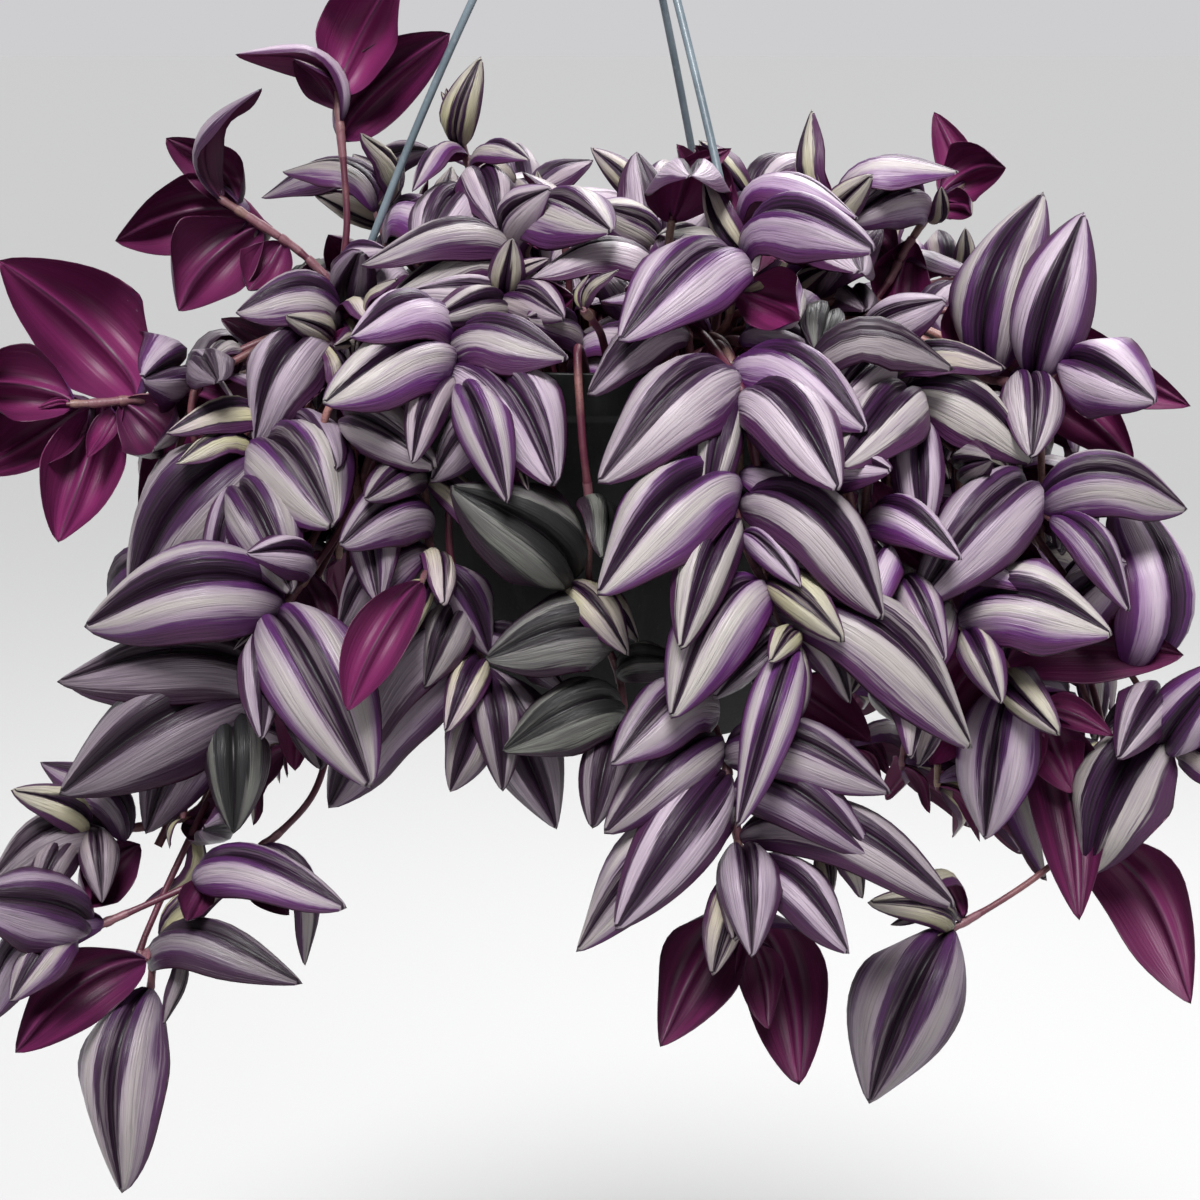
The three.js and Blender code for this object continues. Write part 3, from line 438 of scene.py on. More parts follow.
def mottle_group():
    """Soft clouds and fine specks all through a piece, each at its own scale."""
    inputs = {"Cloud scale": (FLOAT, 40.0), "Speck scale": (FLOAT, 900.0), "Speck detail": (FLOAT, 3.0)}
    outputs = {"Clouds": FLOAT, "Specks": FLOAT}
    w, inside, outside = new_group("mottle", "ShaderNodeTree", inputs, outputs)
    spot = w.spot()
    clouds = w.noise(spot, inside["Cloud scale"], 3.0)
    specks = w.noise(spot, inside["Speck scale"], inside["Speck detail"])
    w.fill(outside, {"Clouds": clouds, "Specks": specks})
    return w.tree


LONG_GRAIN, MOTTLE = long_grain_group(), mottle_group()
AUBERGINE = colour(26, 9, 27)
PLUM = colour(56, 26, 60)
GROOVE_SHADE = colour(9, 2, 9)
SILVER = colour(180, 164, 178)
WARM_SILVER = colour(172, 166, 162)
LIME_CREAM = colour(168, 163, 126)
OLD_SHADED_SILVER = colour(104, 92, 103)
OLD_SHADED_DARK = colour(38, 26, 36)
SHADED_DULL_GREEN = colour(104, 108, 99)
SHADE_GREEN = colour(29, 32, 30)
VIOLET = colour(108, 50, 124)
DUSKY = colour(68, 32, 66)
MAUVE_GREY = colour(112, 92, 118)
LEAF_EDGE = colour(54, 20, 44)


def leaf_upper():
    """Two silver bands with violet borders on aubergine, meeting at the leaf's base and tip."""
    material, w, principled = new_material("leaf upper side")
    along, out, fine, broad = w.placed(LONG_GRAIN, {"Across scale": 54.0, "Along scale": 2.0})
    # Each leaf's mark of age also carries painted shade: leaves that stand in shade get a higher mark,
    # which dulls and darkens their silver and their dark parts.
    youth, age = w.attribute("youth"), w.attribute("age")
    own_margin, own_violet, own_warmth, own_middle = (w.own(n) for n in (7.0, 13.0, 31.0, 53.0))
    wander = w.times(w.less(broad, 0.5), 0.26, out)
    edge = w.times(w.less(fine, 0.5), 0.3, wander)
    # The dark middle is broadest a third of the way along, and each leaf has its own.
    middle = w.times(own_middle, 0.2, w.step(along, 0.2, 0.9, 0.27, 0.11))
    middle = w.times(age, 0.12, middle)
    off_middle = w.less(edge, middle)
    margin = w.times(own_margin, 0.14, 0.66)
    outer = w.step(w.less(edge, margin), 0.0, 0.1, 1.0, 0.0)
    opening = w.step(w.times(fine, 0.2, along), 0.1, 0.28)
    silver = w.times(w.times(w.step(off_middle, -0.035, 0.045), outer), opening)
    # Some leaves have a thin silver line beside the midrib as well.
    line = w.times(w.band(edge, 0.11, 0.17, 0.03), w.step(along, 0.1, 0.3))
    silver = w.math("MAXIMUM", silver, w.times(line, w.step(own_margin, 0.5, 0.8, 0.0, 0.35)))
    silver = w.times(silver, w.step(fine, 0.28, 0.46, 0.76, 1.0))
    dark = w.mix(w.step(fine, 0.38, 0.68), AUBERGINE, PLUM)
    # Painted shade: the leaves with the highest mark turn dark green-black, with grey-green where the
    # silver is.
    shaded_and_dulled = w.step(age, 0.76, 0.9, 0.0, 0.8)
    dark = w.mix(shaded_and_dulled, w.mix(age, dark, OLD_SHADED_DARK), SHADE_GREEN)
    # Painted shade in the groove over the midrib: a near-black line.
    dark = w.mix(w.step(out, 0.008, 0.055, 1.0, 0.0), dark, GROOVE_SHADE)
    dark = w.mix(w.step(wander, 0.72, 0.86), dark, w.mix(age, DUSKY, OLD_SHADED_DARK))
    lime = w.times(youth, w.step(along, 0.2, 1.0, 1.0, 0.3))
    light = w.mix(lime, w.mix(w.step(own_warmth, 0.2, 0.8), SILVER, WARM_SILVER), LIME_CREAM)
    light = w.mix(age, light, OLD_SHADED_SILVER)
    light = w.mix(shaded_and_dulled, light, SHADED_DULL_GREEN)
    grime = w.times(broad, 0.7, w.times(fine, 0.6))
    streaks = w.step(w.times(age, 0.1, grime), 0.6, 0.92, 0.0, 0.62)
    light = w.mix(streaks, light, w.mix(age, MAUVE_GREY, OLD_SHADED_DARK))
    base = w.mix(silver, dark, light)
    by_base = w.step(w.times(broad, 0.25, along), 0.1, 0.55, 0.85, 0.0)
    by_border = w.times(w.band(w.less(wander, margin), -0.08, 0.14, 0.1), 0.7)
    by_middle = w.times(w.step(off_middle, 0.02, 0.16, 0.48, 0.0), w.step(edge, 0.2, 0.3))
    violet = w.math("MAXIMUM", by_base, w.math("MAXIMUM", by_border, by_middle))
    violet = w.times(violet, w.step(out, 0.08, 0.2))
    # Violet shows on grown leaves that are neither old nor in painted shade.
    fresh_and_lit = w.less(1.0, w.math("MAXIMUM", age, youth))
    vivid = w.times(fresh_and_lit, w.step(own_violet, 0.0, 1.0, 0.0, 0.9))
    base = w.mix(w.times(violet, vivid), base, VIOLET)
    relief = w.times(silver, 0.5, w.times(broad, 1.5, fine))
    looks = {
        "Base Color": w.mix(w.step(out, 0.965, 0.99), base, LEAF_EDGE),
        "Roughness": w.step(silver, 0.0, 1.0, 0.42, 0.34),
        "Specular IOR Level": 0.28,
        "Normal": w.bump(relief, 0.5 * MM),
    }
    w.fill(principled, looks)
    return material


def leaf_underside():
    """Soft magenta to burgundy, darker by the midrib and the margin."""
    material, w, principled = new_material("leaf underside")
    along, out, fine, broad = w.placed(LONG_GRAIN, {"Across scale": 40.0, "Along scale": 1.4})
    depth = w.math("ADD", w.times(fine, 0.35, broad), w.times(w.own(17.0), 0.5))
    base = w.mix(w.step(depth, 0.55, 1.1), colour(58, 12, 44), colour(108, 31, 80))
    base = w.mix(w.step(along, 0.0, 0.35, 0.4, 0.0), base, colour(110, 42, 94))
    base = w.mix(w.step(out, 0.5, 1.0, 0.0, 0.4), base, colour(50, 10, 38))
    base = w.mix(w.step(out, 0.03, 0.12, 0.35, 0.0), base, colour(120, 48, 94))
    base = w.mix(w.step(out, 0.006, 0.03, 0.75, 0.0), base, colour(44, 6, 34))
    # Leaves marked old or shaded turn dark plum: painted shade as well as age.
    looks = {
        "Base Color": w.mix(w.times(w.attribute("age"), 0.9), base, colour(48, 22, 40)),
        "Roughness": 0.46,
        "Specular IOR Level": 0.3,
        "Normal": w.bump(w.math("ADD", fine, broad), 0.3 * MM),
    }
    w.fill(principled, looks)
    return material


def skin(name, pale, deep, spots):
    """A stem's skin in two shades with fine spots."""
    material, w, principled = new_material(name)
    clouds, specks = w.placed(MOTTLE, {"Cloud scale": 60.0, "Speck scale": 1400.0})
    shade = w.times(w.attribute("seed"), 0.6, clouds)
    base = w.mix(w.step(shade, 0.36, 0.84), pale, deep)
    base = w.mix(w.step(specks, 0.5, 0.7, 0.0, 0.6), base, spots)
    w.fill(principled, {"Base Color": base, "Roughness": 0.45, "Normal": w.bump(specks, 0.15 * MM)})
    return material


LEAF_UPPER, LEAF_UNDERSIDE = leaf_upper(), leaf_underside()
STEM_SKIN = skin("stem skin", colour(142, 100, 94), colour(80, 30, 48), colour(66, 30, 42))
SHEATH_SKIN = skin("sheath skin", colour(136, 112, 94), colour(112, 72, 80), colour(86, 44, 62))


# ---------------------------------------------------------------- leaves
UPPER, UNDER = range(2)  # finishes of a leafy piece, in the order of its materials
BLADE_EDGE = 0.5 * MM  # thickness of a leaf between its midrib and its margin
MIDRIB_KEEL = 0.35 * MM  # by which the midrib stands out below
GROOVE = 0.06  # depth of the groove over the midrib, as a share of the half-breadth
SPREAD = 1.21  # of a fine leaf's breadth over its packed blade's
LEAF_BEND = 0.8  # share of the length over which a leaf bends down
SAG = 0.13  # of a leaf's length by which its middle stands over its ends where it hangs on edge
FREE_FROM = 0.16  # share of a leaf's length from which it has to keep clear of the others


class LeafGrid:
    """Rows along and columns across a leaf, and the faces of its two sides, closed at the margin."""

    def __init__(self, rows, across):
        share = np.arange(rows + 1) / rows
        self.along = 0.45 * share + 0.55 * (1 - np.cos(math.pi * share)) / 2
        self.across = np.concatenate([-np.array(across[::-1]), [0], across])
        columns = len(self.across)
        count = (rows - 1) * columns
        upper = np.arange(count).reshape(rows - 1, columns)
        lower = upper.copy()
        inner = (rows - 1) * (columns - 2)
        lower[:, 1:-1] = count + np.arange(inner).reshape(rows - 1, columns - 2)
        self.root_pole, self.tip_pole = count + inner, count + inner + 1
        self.faces = self.side(upper) + [face[::-1] for face in self.side(lower)]
        self.finishes = np.repeat([UPPER, UNDER], len(self.faces) // 2)
        self.free_row = int(np.searchsorted(self.along, FREE_FROM))
        corners = np.arange((rows + 1 - self.free_row) * columns).reshape(-1, columns)
        self.free_faces = []
        for near, far in zip(corners, corners[1:]):
            self.free_faces += [tuple(map(int, face)) for face in zip(near, near[1:], far[1:], far)]

    def side(self, grid):
        """Faces over a grid of corners and out to the two poles, turned upwards."""
        faces = []
        for near, far in zip(grid, grid[1:]):
            faces += zip(near[:-1], near[1:], far[1:], far[:-1])
        faces += [(self.root_pole, b, a) for a, b in zip(grid[0], grid[0, 1:])]
        faces += [(a, b, self.tip_pole) for a, b in zip(grid[-1], grid[-1, 1:])]
        return [tuple(int(corner) for corner in face) for face in faces]

    def pack(self, upper, lower):
        """The values of both sides in the order of the corners."""
        width = upper.shape[-1]
        rims = upper[1:-1].reshape(-1, width)
        inner = lower[1:-1, 1:-1].reshape(-1, width)
        return np.concatenate([rims, inner, upper[0, :1], upper[-1, :1]])


LEAF_GRID = LeafGrid(18, [0.05, 0.16, 0.32, 0.52, 0.72, 0.88, 0.97, 1])
INFILL_GRID = LeafGrid(12, [0.06, 0.25, 0.5, 0.78, 0.96, 1])


def outline(along, fullness):
    """The half-breadth at each share of the length: a full oval that draws in to a short point."""
    return np.sin(math.pi * along**0.88) ** fullness * (1 - 0.28 * along**8)


def spine(along, bend):
    """A leaf's midrib over its chord, as (along, above, slope), for a total bend in radians."""
    fine = np.linspace(0, 1, 201)
    slope = -bend * np.sin(0.5 * math.pi * np.minimum(fine / LEAF_BEND, 1)) ** 1.3
    steps = (np.cos(slope), np.sin(slope))
    ahead, above = (np.concatenate([[0], np.cumsum(step[1:])]) for step in steps)
    lift = math.atan2(-above[-1], ahead[-1])
    turned_ahead = ahead * math.cos(lift) - above * math.sin(lift)
    turned_above = ahead * math.sin(lift) + above * math.cos(lift)
    lines = (turned_ahead / turned_ahead[-1], turned_above / turned_ahead[-1], slope + lift)
    return (np.interp(along, fine, line) for line in lines)


def swung(leaf, draw, freedom):
    """A leaf's three directions, each turned by up to an angle."""
    yaw, tilt, roll = (freedom * draw(-1, 1) for _ in range(3))
    along = unit(leaf.along + yaw * leaf.side + tilt * leaf.up)
    up = leaf.up + roll * leaf.side
    up = unit(up - (up @ along) * along)
    return along, up, np.cross(along, up)


def leaf_sides(leaf, grid, draw, freedom):
    """The upper and lower surface of a leaf, as two grids of points."""
    leaf_along, leaf_up, leaf_side = swung(leaf, draw, freedom)
    along, across = grid.along[:, None], grid.across[None, :]
    out = np.abs(across)
    half = leaf.half * outline(along, draw(0.56, 0.72))
    pillow = draw(0.3, 0.46) * np.sin(math.pi * out**0.75) * (1 - 0.4 * along**3)
    fall = math.sin(BLADE_FOLD) * (1.1 + draw(-0.25, 0.25)) * out**1.6
    groove = GROOVE * np.exp(-((out / 0.07) ** 2)) * (1 - along**4)
    phase = draw(0, math.tau)
    waves = np.sin(math.tau * draw(1.2, 2.2) * along + phase + np.sign(across) * draw(0.6, 1.4))
    wave = draw(0.05, 0.15) * waves * out**2.2
    height = half * (pillow - fall - groove + wave)
    reach = half * math.cos(BLADE_FOLD) * across * (1 + 0.06 * (1 - out))
    twist = math.radians(draw(-22, 22)) * (along - 0.3)
    sideways = reach * np.cos(twist) - height * np.sin(twist)
    upwards = reach * np.sin(twist) + height * np.cos(twist)
    sway = (draw(-0.06, 0.06) + SAG * leaf.side[2]) * leaf.length * np.sin(math.pi * along**0.8)
    ahead, above, slope = spine(along, math.radians(draw(66, 108)))
    points = (
        leaf.root
        + (ahead * leaf.length - upwards * np.sin(slope))[..., None] * leaf_along
        + (sideways + sway)[..., None] * leaf_side
        + (above * leaf.length + upwards * np.cos(slope))[..., None] * leaf_up
    )
    inward = np.cross(np.gradient(points, axis=0), np.gradient(points, axis=1))
    inward /= np.maximum(np.linalg.norm(inward, axis=2), 1e-12)[..., None]
    ends = np.clip(9 * np.minimum(along, 1 - along), 0, 1)
    thick = ends * (BLADE_EDGE * (1 - out**6) + MIDRIB_KEEL * np.exp(-((out / 0.08) ** 2)))
    return points, points + thick[..., None] * inward


# ---------------------------------------------------------------- leafy stems
STEM_STEP = 2.5 * MM  # between the points of a stem
COARSE_STEP, RIBBON_STEP = 4 * MM, 8 * MM  # the same, where a stem is only tested against
STEM_SIDES = 9
SHEATH_LENGTH = 8 * MM
SHEATH_FLARE = np.array([1.03, 1.15, 1.2, 1.25, 1.4, 1.3])  # over the stem, towards its mouth
KNUCKLE, KNUCKLE_LENGTH = 0.22, 1.6 * MM  # by which a stem is thicker under a sheath
OBLIQUE = [0.31, 0.52, 0.79]  # a direction that no stem runs in
TIP_YOUTH = 22 * MM  # leaves that spring about this near the tip are young
YOUNG_LENGTH = 26 * MM  # where they are about this short as well


def round_bar_tree():
    """Sweeps a circle along every loose line of a mesh, as thick as its points say."""
    inputs = {
        "Growth": (GEOMETRY, None),
        "Sides": (WHOLE, STEM_SIDES),
        "Skin": (MATERIAL, None),
        "Sheath skin": (MATERIAL, None),
    }
    w, inside, outside = new_group("round stems", "GeometryNodeTree", inputs, {"Growth": GEOMETRY})
    on_face = w.node("GeometryNodeInputMeshEdgeNeighbors").outputs[0]
    inputs = {"Geometry": inside["Growth"], "Selection": on_face}
    parts = w.node("GeometryNodeSeparateGeometry", inputs, domain="EDGE").outputs
    lines = w.node("GeometryNodeMeshToCurve", {"Mesh": parts["Inverted"]}).outputs[0]
    inputs = {"Resolution": inside["Sides"], "Radius": 1.0}
    circle = w.node("GeometryNodeCurvePrimitiveCircle", inputs).outputs[0]
    thickness = w.named("thickness")
    sweep = {"Curve": lines, "Profile Curve": circle, "Scale": thickness, "Fill Caps": True}
    bars = w.node("GeometryNodeCurveToMesh", sweep).outputs[0]
    bars = w.node("GeometryNodeSetShadeSmooth", {"Geometry": bars}).outputs[0]
    skins = [(inside["Skin"], thickness), (inside["Sheath skin"], w.named("sheath"))]
    w.fill(outside, {"Growth": w.clothed([parts["Selection"], bars], skins)})
    return w.tree


ROUND_STEMS = round_bar_tree()


def smooth_line(knots, step):
    """Points about a step apart on a smooth curve through the knots."""
    ends = [2 * knots[0] - knots[1], *knots, 2 * knots[-1] - knots[-2]]
    points = []
    for a, b, c, d in zip(ends, ends[1:], ends[2:], ends[3:]):
        count = max(1, round(np.linalg.norm(c - b) / step))
        for t in np.arange(count) / count:
            slope = 0.5 * t * (c - a)
            bend = 0.5 * t**2 * (2 * a - 5 * b + 4 * c - d) + 0.5 * t**3 * (3 * b - a - 3 * c + d)
            points.append(b + slope + bend)
    points.append(knots[-1])
    return np.array(points)


def coarse_line(knots):
    """Points on a smooth curve through the knots, as near each other as rough tests need."""
    return smooth_line(knots, COARSE_STEP)


def lengths_along(points):
    """The distance of each point of a line from its first one."""
    return np.concatenate([[0], np.cumsum(np.linalg.norm(np.diff(points, axis=0), axis=1))])


def at_lengths(line, along, wanted):
    """The points at given distances along a line."""
    return np.stack([np.interp(wanted, along, line[:, k]) for k in range(3)], 1)


def ball_round(points):
    """The middle of points, and the radius of the ball round it that holds them."""
    middle = points.mean(0)
    return middle, np.linalg.norm(points - middle, axis=1).max()


class Thicket:
    """The surfaces that stand already, which each new leaf is drawn clear of."""

    def __init__(self):
        self.middles, self.reaches, self.trees = [], [], []

    def hold(self, points, faces):
        """Adds a surface."""
        middle, reach = ball_round(points)
        self.middles.append(middle)
        self.reaches.append(reach)
        self.trees.append(BVHTree.FromPolygons(points.tolist(), faces))

    def hold_line(self, line, radius):
        """Adds a thin three-sided bar along a line."""
        turned_by = np.arange(3) * math.tau / 3
        for a, b in zip(line, line[1:]):
            side = unit(np.cross(b - a, OBLIQUE))
            other = np.cross(unit(b - a), side)
            ring = radius * (np.cos(turned_by)[:, None] * side + np.sin(turned_by)[:, None] * other)
            self.hold(np.concatenate([a + ring, b + ring]), [(0, 1, 4, 3), (1, 2, 5, 4), (2, 0, 3, 5)])

    def cuts(self, points, faces):
        """How many pairs of faces cut through each other between a surface and those here."""
        middle, reach = ball_round(points)
        off = np.linalg.norm(np.array(self.middles) - middle, axis=1)
        near = np.nonzero(off < np.array(self.reaches) + reach)[0]
        tree = BVHTree.FromPolygons(points.tolist(), faces)
        return sum(len(tree.overlap(self.trees[k])) for k in near)


THICKET = Thicket()
LEAF_TRIES = 8
PACKED_FREEDOM = math.radians(1.2)  # by which each further try turns a packed leaf more
INFILL_FREEDOM = math.radians(3)
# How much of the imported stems' thickness the finer stems have.
PACKED_THICK, SHOOT_THICK, SIDE_SHOOT_THICK = 0.82, 0.85, 0.6


class Growth:
    """The leaves, stems and sheaths of one piece."""

    MARKS = ("youth", "age", "seed", "thickness", "sheath")

    def __init__(self, rng):
        self.rng = rng
        self.points, self.places, self.marks = [], [], []
        self.faces, self.finishes, self.edges = [], [], []
        self.count = 0

    def put(self, points, youth, age, thickness, sheath):
        """Adds points with their marks."""
        marks = np.empty((len(points), len(self.MARKS)))
        for k, mark in enumerate((youth, age, self.rng.random(), thickness, sheath)):
            marks[:, k] = mark
        self.points.append(points)
        self.marks.append(marks)
        self.count += len(points)

    def leaf(self, leaf, grid, freedom=PACKED_FREEDOM, most_cuts=math.inf):
        """Adds a leaf, drawn as clear of the others as a few tries get, unless it cuts too much."""
        fewest = math.inf
        for attempt in range(LEAF_TRIES):
            sides = leaf_sides(leaf, grid, self.rng.uniform, freedom * attempt)
            sheet = sides[0][grid.free_row :].reshape(-1, 3)
            cuts = THICKET.cuts(sheet, grid.free_faces)
            if cuts < fewest:
                fewest, best = cuts, (*sides, sheet)
            if not cuts:
                break
        if fewest > most_cuts:
            return False
        upper, lower, sheet = best
        THICKET.hold(sheet, grid.free_faces)
        places = np.empty((len(grid.along), len(grid.across), 2))
        places[..., 0] = grid.along[:, None]
        places[..., 1] = (1 + grid.across) / 2
        self.faces += [tuple(corner + self.count for corner in face) for face in grid.faces]
        self.finishes.append(grid.finishes)
        self.places.append(grid.pack(places, places))
        self.put(grid.pack(upper, lower), leaf.youth, leaf.age, 0, 0)
        return True

    def line(self, points, thickness, youth, sheath):
        """Adds a line that becomes a round bar."""
        first = self.count
        self.edges += [(first + k, first + k + 1) for k in range(len(points) - 1)]
        self.places.append(np.zeros((len(points), 2)))
        self.put(points, youth, 0, thickness, sheath)

    def stem(self, knots, leaves, thick):
        """Adds a stem with a knuckle and a sheath at each of its leaves."""
        line = smooth_line(knots, STEM_STEP)
        along = lengths_along(line)
        nodes = [along[np.linalg.norm(line - leaf.root, axis=1).argmin()] for leaf in leaves]
        radii = thick * (STEM_RADIUS + (STEM_TIP_RADIUS - STEM_RADIUS) * along / along[-1])
        for node in nodes:
            offset = (along - node + SHEATH_LENGTH) / KNUCKLE_LENGTH
            radii *= 1 + KNUCKLE * np.exp(-(offset**2))
        radii[-1] *= 0.6
        self.line(line, radii, 0, 0)
        for leaf, node in zip(leaves, nodes):
            ends = max(0, node - SHEATH_LENGTH), min(along[-1], node + MM)
            wanted = np.linspace(*ends, len(SHEATH_FLARE))
            radius = np.interp(wanted, along, radii) * SHEATH_FLARE
            self.line(at_lengths(line, along, wanted), radius, leaf.youth, 1)

    def piece(self, name):
        """The finished piece, as one object."""
        mesh = bpy.data.meshes.new(name)
        mesh.from_pydata(np.concatenate(self.points), self.edges, self.faces)
        mesh.materials.append(LEAF_UPPER)
        mesh.materials.append(LEAF_UNDERSIDE)
        mesh.polygons.foreach_set("material_index", np.concatenate(self.finishes).astype("i"))
        mesh.polygons.foreach_set("use_smooth", np.ones(len(self.faces), bool))
        corners = np.empty(len(mesh.loops), "i")
        mesh.loops.foreach_get("vertex_index", corners)
        places = np.concatenate(self.places)[corners].astype("f")
        mesh.uv_layers.new(name="place").data.foreach_set("uv", places.ravel())
        marks = np.concatenate(self.marks).astype("f")
        for k, mark in enumerate(self.MARKS):
            layer = mesh.attributes.new(mark, "FLOAT", "POINT")
            layer.data.foreach_set("value", np.ascontiguousarray(marks[:, k]))
        skins = {"Skin": STEM_SKIN, "Sheath skin": SHEATH_SKIN}
        piece = grown(name, mesh, ROUND_STEMS, skins)
        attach(piece, "root")
        return piece


SHEET_ROWS = np.array([0.1, 0.34, 0.64, 0.92])
SHEET_COLUMNS = np.array([-0.82, 0, 0.82])


def sheet_of(leaf):
    """A few points that stand for a leaf."""
    along, across = SHEET_ROWS[:, None], SHEET_COLUMNS[None, :]
    half = leaf.half * outline(along, 0.76)
    height = rise(along) * leaf.length - half * math.sin(BLADE_FOLD) * np.abs(across) ** 1.5
    points = (
        leaf.root
        + (along * leaf.length)[..., None] * leaf.along
        + (half * math.cos(BLADE_FOLD) * across)[..., None] * leaf.side
        + height[..., None] * leaf.up
    )
    return points.reshape(-1, 3)


SHEET_FACES = [
    (3 * row + column, 3 * row + column + 1, 3 * row + column + 4, 3 * row + column + 3)
    for row in range(3)
    for column in range(2)
]


def sheet_tree(leaf):
    """A leaf's coarse sheet, to test for cuts."""
    return BVHTree.FromPolygons(sheet_of(leaf).tolist(), SHEET_FACES)


def apart(leaf, other):
    """Whether two leaves of one shoot don't cut through each other."""
    return not sheet_tree(leaf).overlap(sheet_tree(other))


def nearest_line(leaf, lines):
    """The number of the centre line that a leaf springs from."""
    off = [np.linalg.norm(coarse_line(line) - leaf.root, axis=1).min() for line in lines]
    return int(np.argmin(off))


def set_youth(leaves, tip):
    """Marks the small leaves by the stem's tip as young."""
    for leaf in leaves:
        near = 1.4 - np.linalg.norm(leaf.root - tip) / TIP_YOUTH
        small = 1.7 - leaf.length / YOUNG_LENGTH
        leaf.youth = float(np.clip(near, 0, 1) * np.clip(small, 0, 1))


def way_at(knots, spot):
    """The way that a stem runs where it passes a spot."""
    line = coarse_line(knots)
    k = max(1, int(np.linalg.norm(line - spot, axis=1).argmin()))
    return unit(line[k] - line[k - 1])


# Each small leaf's length in mm, degrees off the stem, breadth, hand and rise.
TIP_TUFT = ((36, 40, 0.22, -1, 0.45), (24, 24, 0.18, 1, 0.45), (14, 8, 0.12, -1, 0.45))
NODE_TUFT = ((38, 14, 0.24, -1, 0.75), (25, 34, 0.22, 1, 0.75))
NODE_TUFT_SHARE = 0.6  # of the nodes of a packed stem that try to put out a side tuft
TUFT_OFFSET = 1.5 * MM  # from the stem's tip or a leaf's root
TUFT_MOST_CUTS, SHOOT_MOST_CUTS = 6, 9  # that a small leaf or a shoot's leaf is still kept with


def tuft(spot, way, leaves, sizes, rng):
    """Small unfolding leaves at a spot of a stem, turned up as the nearest grown leaf is."""
    nearest = min(leaves, key=lambda leaf: np.linalg.norm(leaf.root - spot))
    facing = unit(nearest.up - 0.98 * (nearest.up @ way) * way)
    hand = math.copysign(1, (nearest.along @ np.cross(way, facing)) or 1)
    young = []
    for length, angle, breadth, turn, rise_by in sizes:
        side = turn * hand * np.cross(way, facing)
        lean = math.radians(angle + rng.uniform(-6, 8))
        ahead = unit(0.75 * way + rise_by * facing)
        heading = unit(math.cos(lean) * ahead + math.sin(lean) * side)
        up = unit(facing - 0.35 * side - 0.25 * way)
        up = unit(up - (up @ heading) * heading)
        size = length * MM * rng.uniform(0.85, 1.15)
        leaf = Leaf(spot, heading, up, size, breadth * size)
        leaf.youth = rng.uniform(0.7, 1)
        young.append(leaf)
    return young


# How old the leaves of some stems look, from 0 to 1, with painted shade in it: stems whose leaves stand
# in shade get a higher value, which darkens them. The others draw theirs.
STEM_SHADES_AND_AGES = {
    "dark_centre": 1, "pink_centre": 0.88, "low_centre_left": 0.5, "hanging_right": 0.5,
    "lowest_left": 0.7, "low_left": 0.75, "magenta_middle": 0.5, "thick_low_left": 0.5,
    "lilac_right": 0.3, "cascade": 0, "broad_left": 0.2, "broad_right": 0,
    "rosette_centre_left": 0.1, "rosette_left": 0.35, "rosette_upper_left": 0.35,
    "dark_upper_left": 0.5, "leaning_left": 0.4, "lower_cascade": 0.35, "top_7": 0, "top_1": 0,
}
SEED = 4100
SHOOT_SEED, MIX_SEED = SEED + 500, SEED + 900
# How much nearer the viewer the leaf that shows its underside stands, on a short side shoot.
NEARER = {"magenta_middle": 38 * MM, "lowest_left": 15 * MM}
FACE_DOWN = -0.8  # most that such a leaf's upper side turns to the viewer
# Painted shade and age of such a leaf, kept low so that it shows bright.
NEARER_SHADE_AND_AGE = 0.3
SIDE_SHOOT_RISE = 3 * MM  # of its middle


def bring_nearer(leaf, shift, growth):
    """Moves a leaf towards the viewer and adds the side shoot that carries it."""
    foot = leaf.root
    leaf.carry(shift * TO_EYE)
    leaf.age = NEARER_SHADE_AND_AGE
    middle = (foot + leaf.root) / 2 + SIDE_SHOOT_RISE * UP
    growth.stem([foot, middle, leaf.root], [leaf], SIDE_SHOOT_THICK)


def packed_growth(order, node):
    """Grows the finer piece for a packed leafy stem and gives its leaves and its centre lines."""
    growth = Growth(np.random.default_rng(SEED + order))
    leaves = leaves_of(node)
    lines = stems_of(node, leaves)
    name = node.replace("leafy_stem_", "")
    age = STEM_SHADES_AND_AGES.get(name, growth.rng.uniform(0, 0.25))
    for leaf in leaves:
        leaf.half *= SPREAD
        leaf.age = float(np.clip(age + growth.rng.normal(0, 0.1), 0, 1))
        if name in NEARER and leaf.up @ TO_EYE < FACE_DOWN:
            bring_nearer(leaf, NEARER[name], growth)
    by_line = [[leaf for leaf in leaves if nearest_line(leaf, lines) == k] for k in range(len(lines))]
    for knots, own in zip(lines, by_line):
        set_youth(own, knots[-1])
        growth.stem(knots, own, PACKED_THICK)
    for leaf in leaves:
        growth.leaf(leaf, LEAF_GRID)
    for knots, own in zip(lines, by_line):
        way = unit(knots[-1] - knots[-2])
        young = tuft(knots[-1] - TUFT_OFFSET * way, way, own, TIP_TUFT, growth.rng)
        for leaf in own:
            if growth.rng.random() < NODE_TUFT_SHARE:
                spot = leaf.root + TUFT_OFFSET * leaf.up
                young += tuft(spot, way_at(knots, leaf.root), [leaf], NODE_TUFT, growth.rng)
        for leaf in young:
            growth.leaf(leaf, INFILL_GRID, INFILL_FREEDOM, TUFT_MOST_CUTS)
    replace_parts(growth.piece("leafy_" + name), node)
    return leaves, lines


FRONT_FIRST = sorted(LEAFY_NODES, key=lambda node: "_back_" in node)

# ---------------------------------------------------------------- infill shoots
RIM_RADIUS = 100 * MM
RIM_TOP = 140 * MM - HANG_HEIGHT
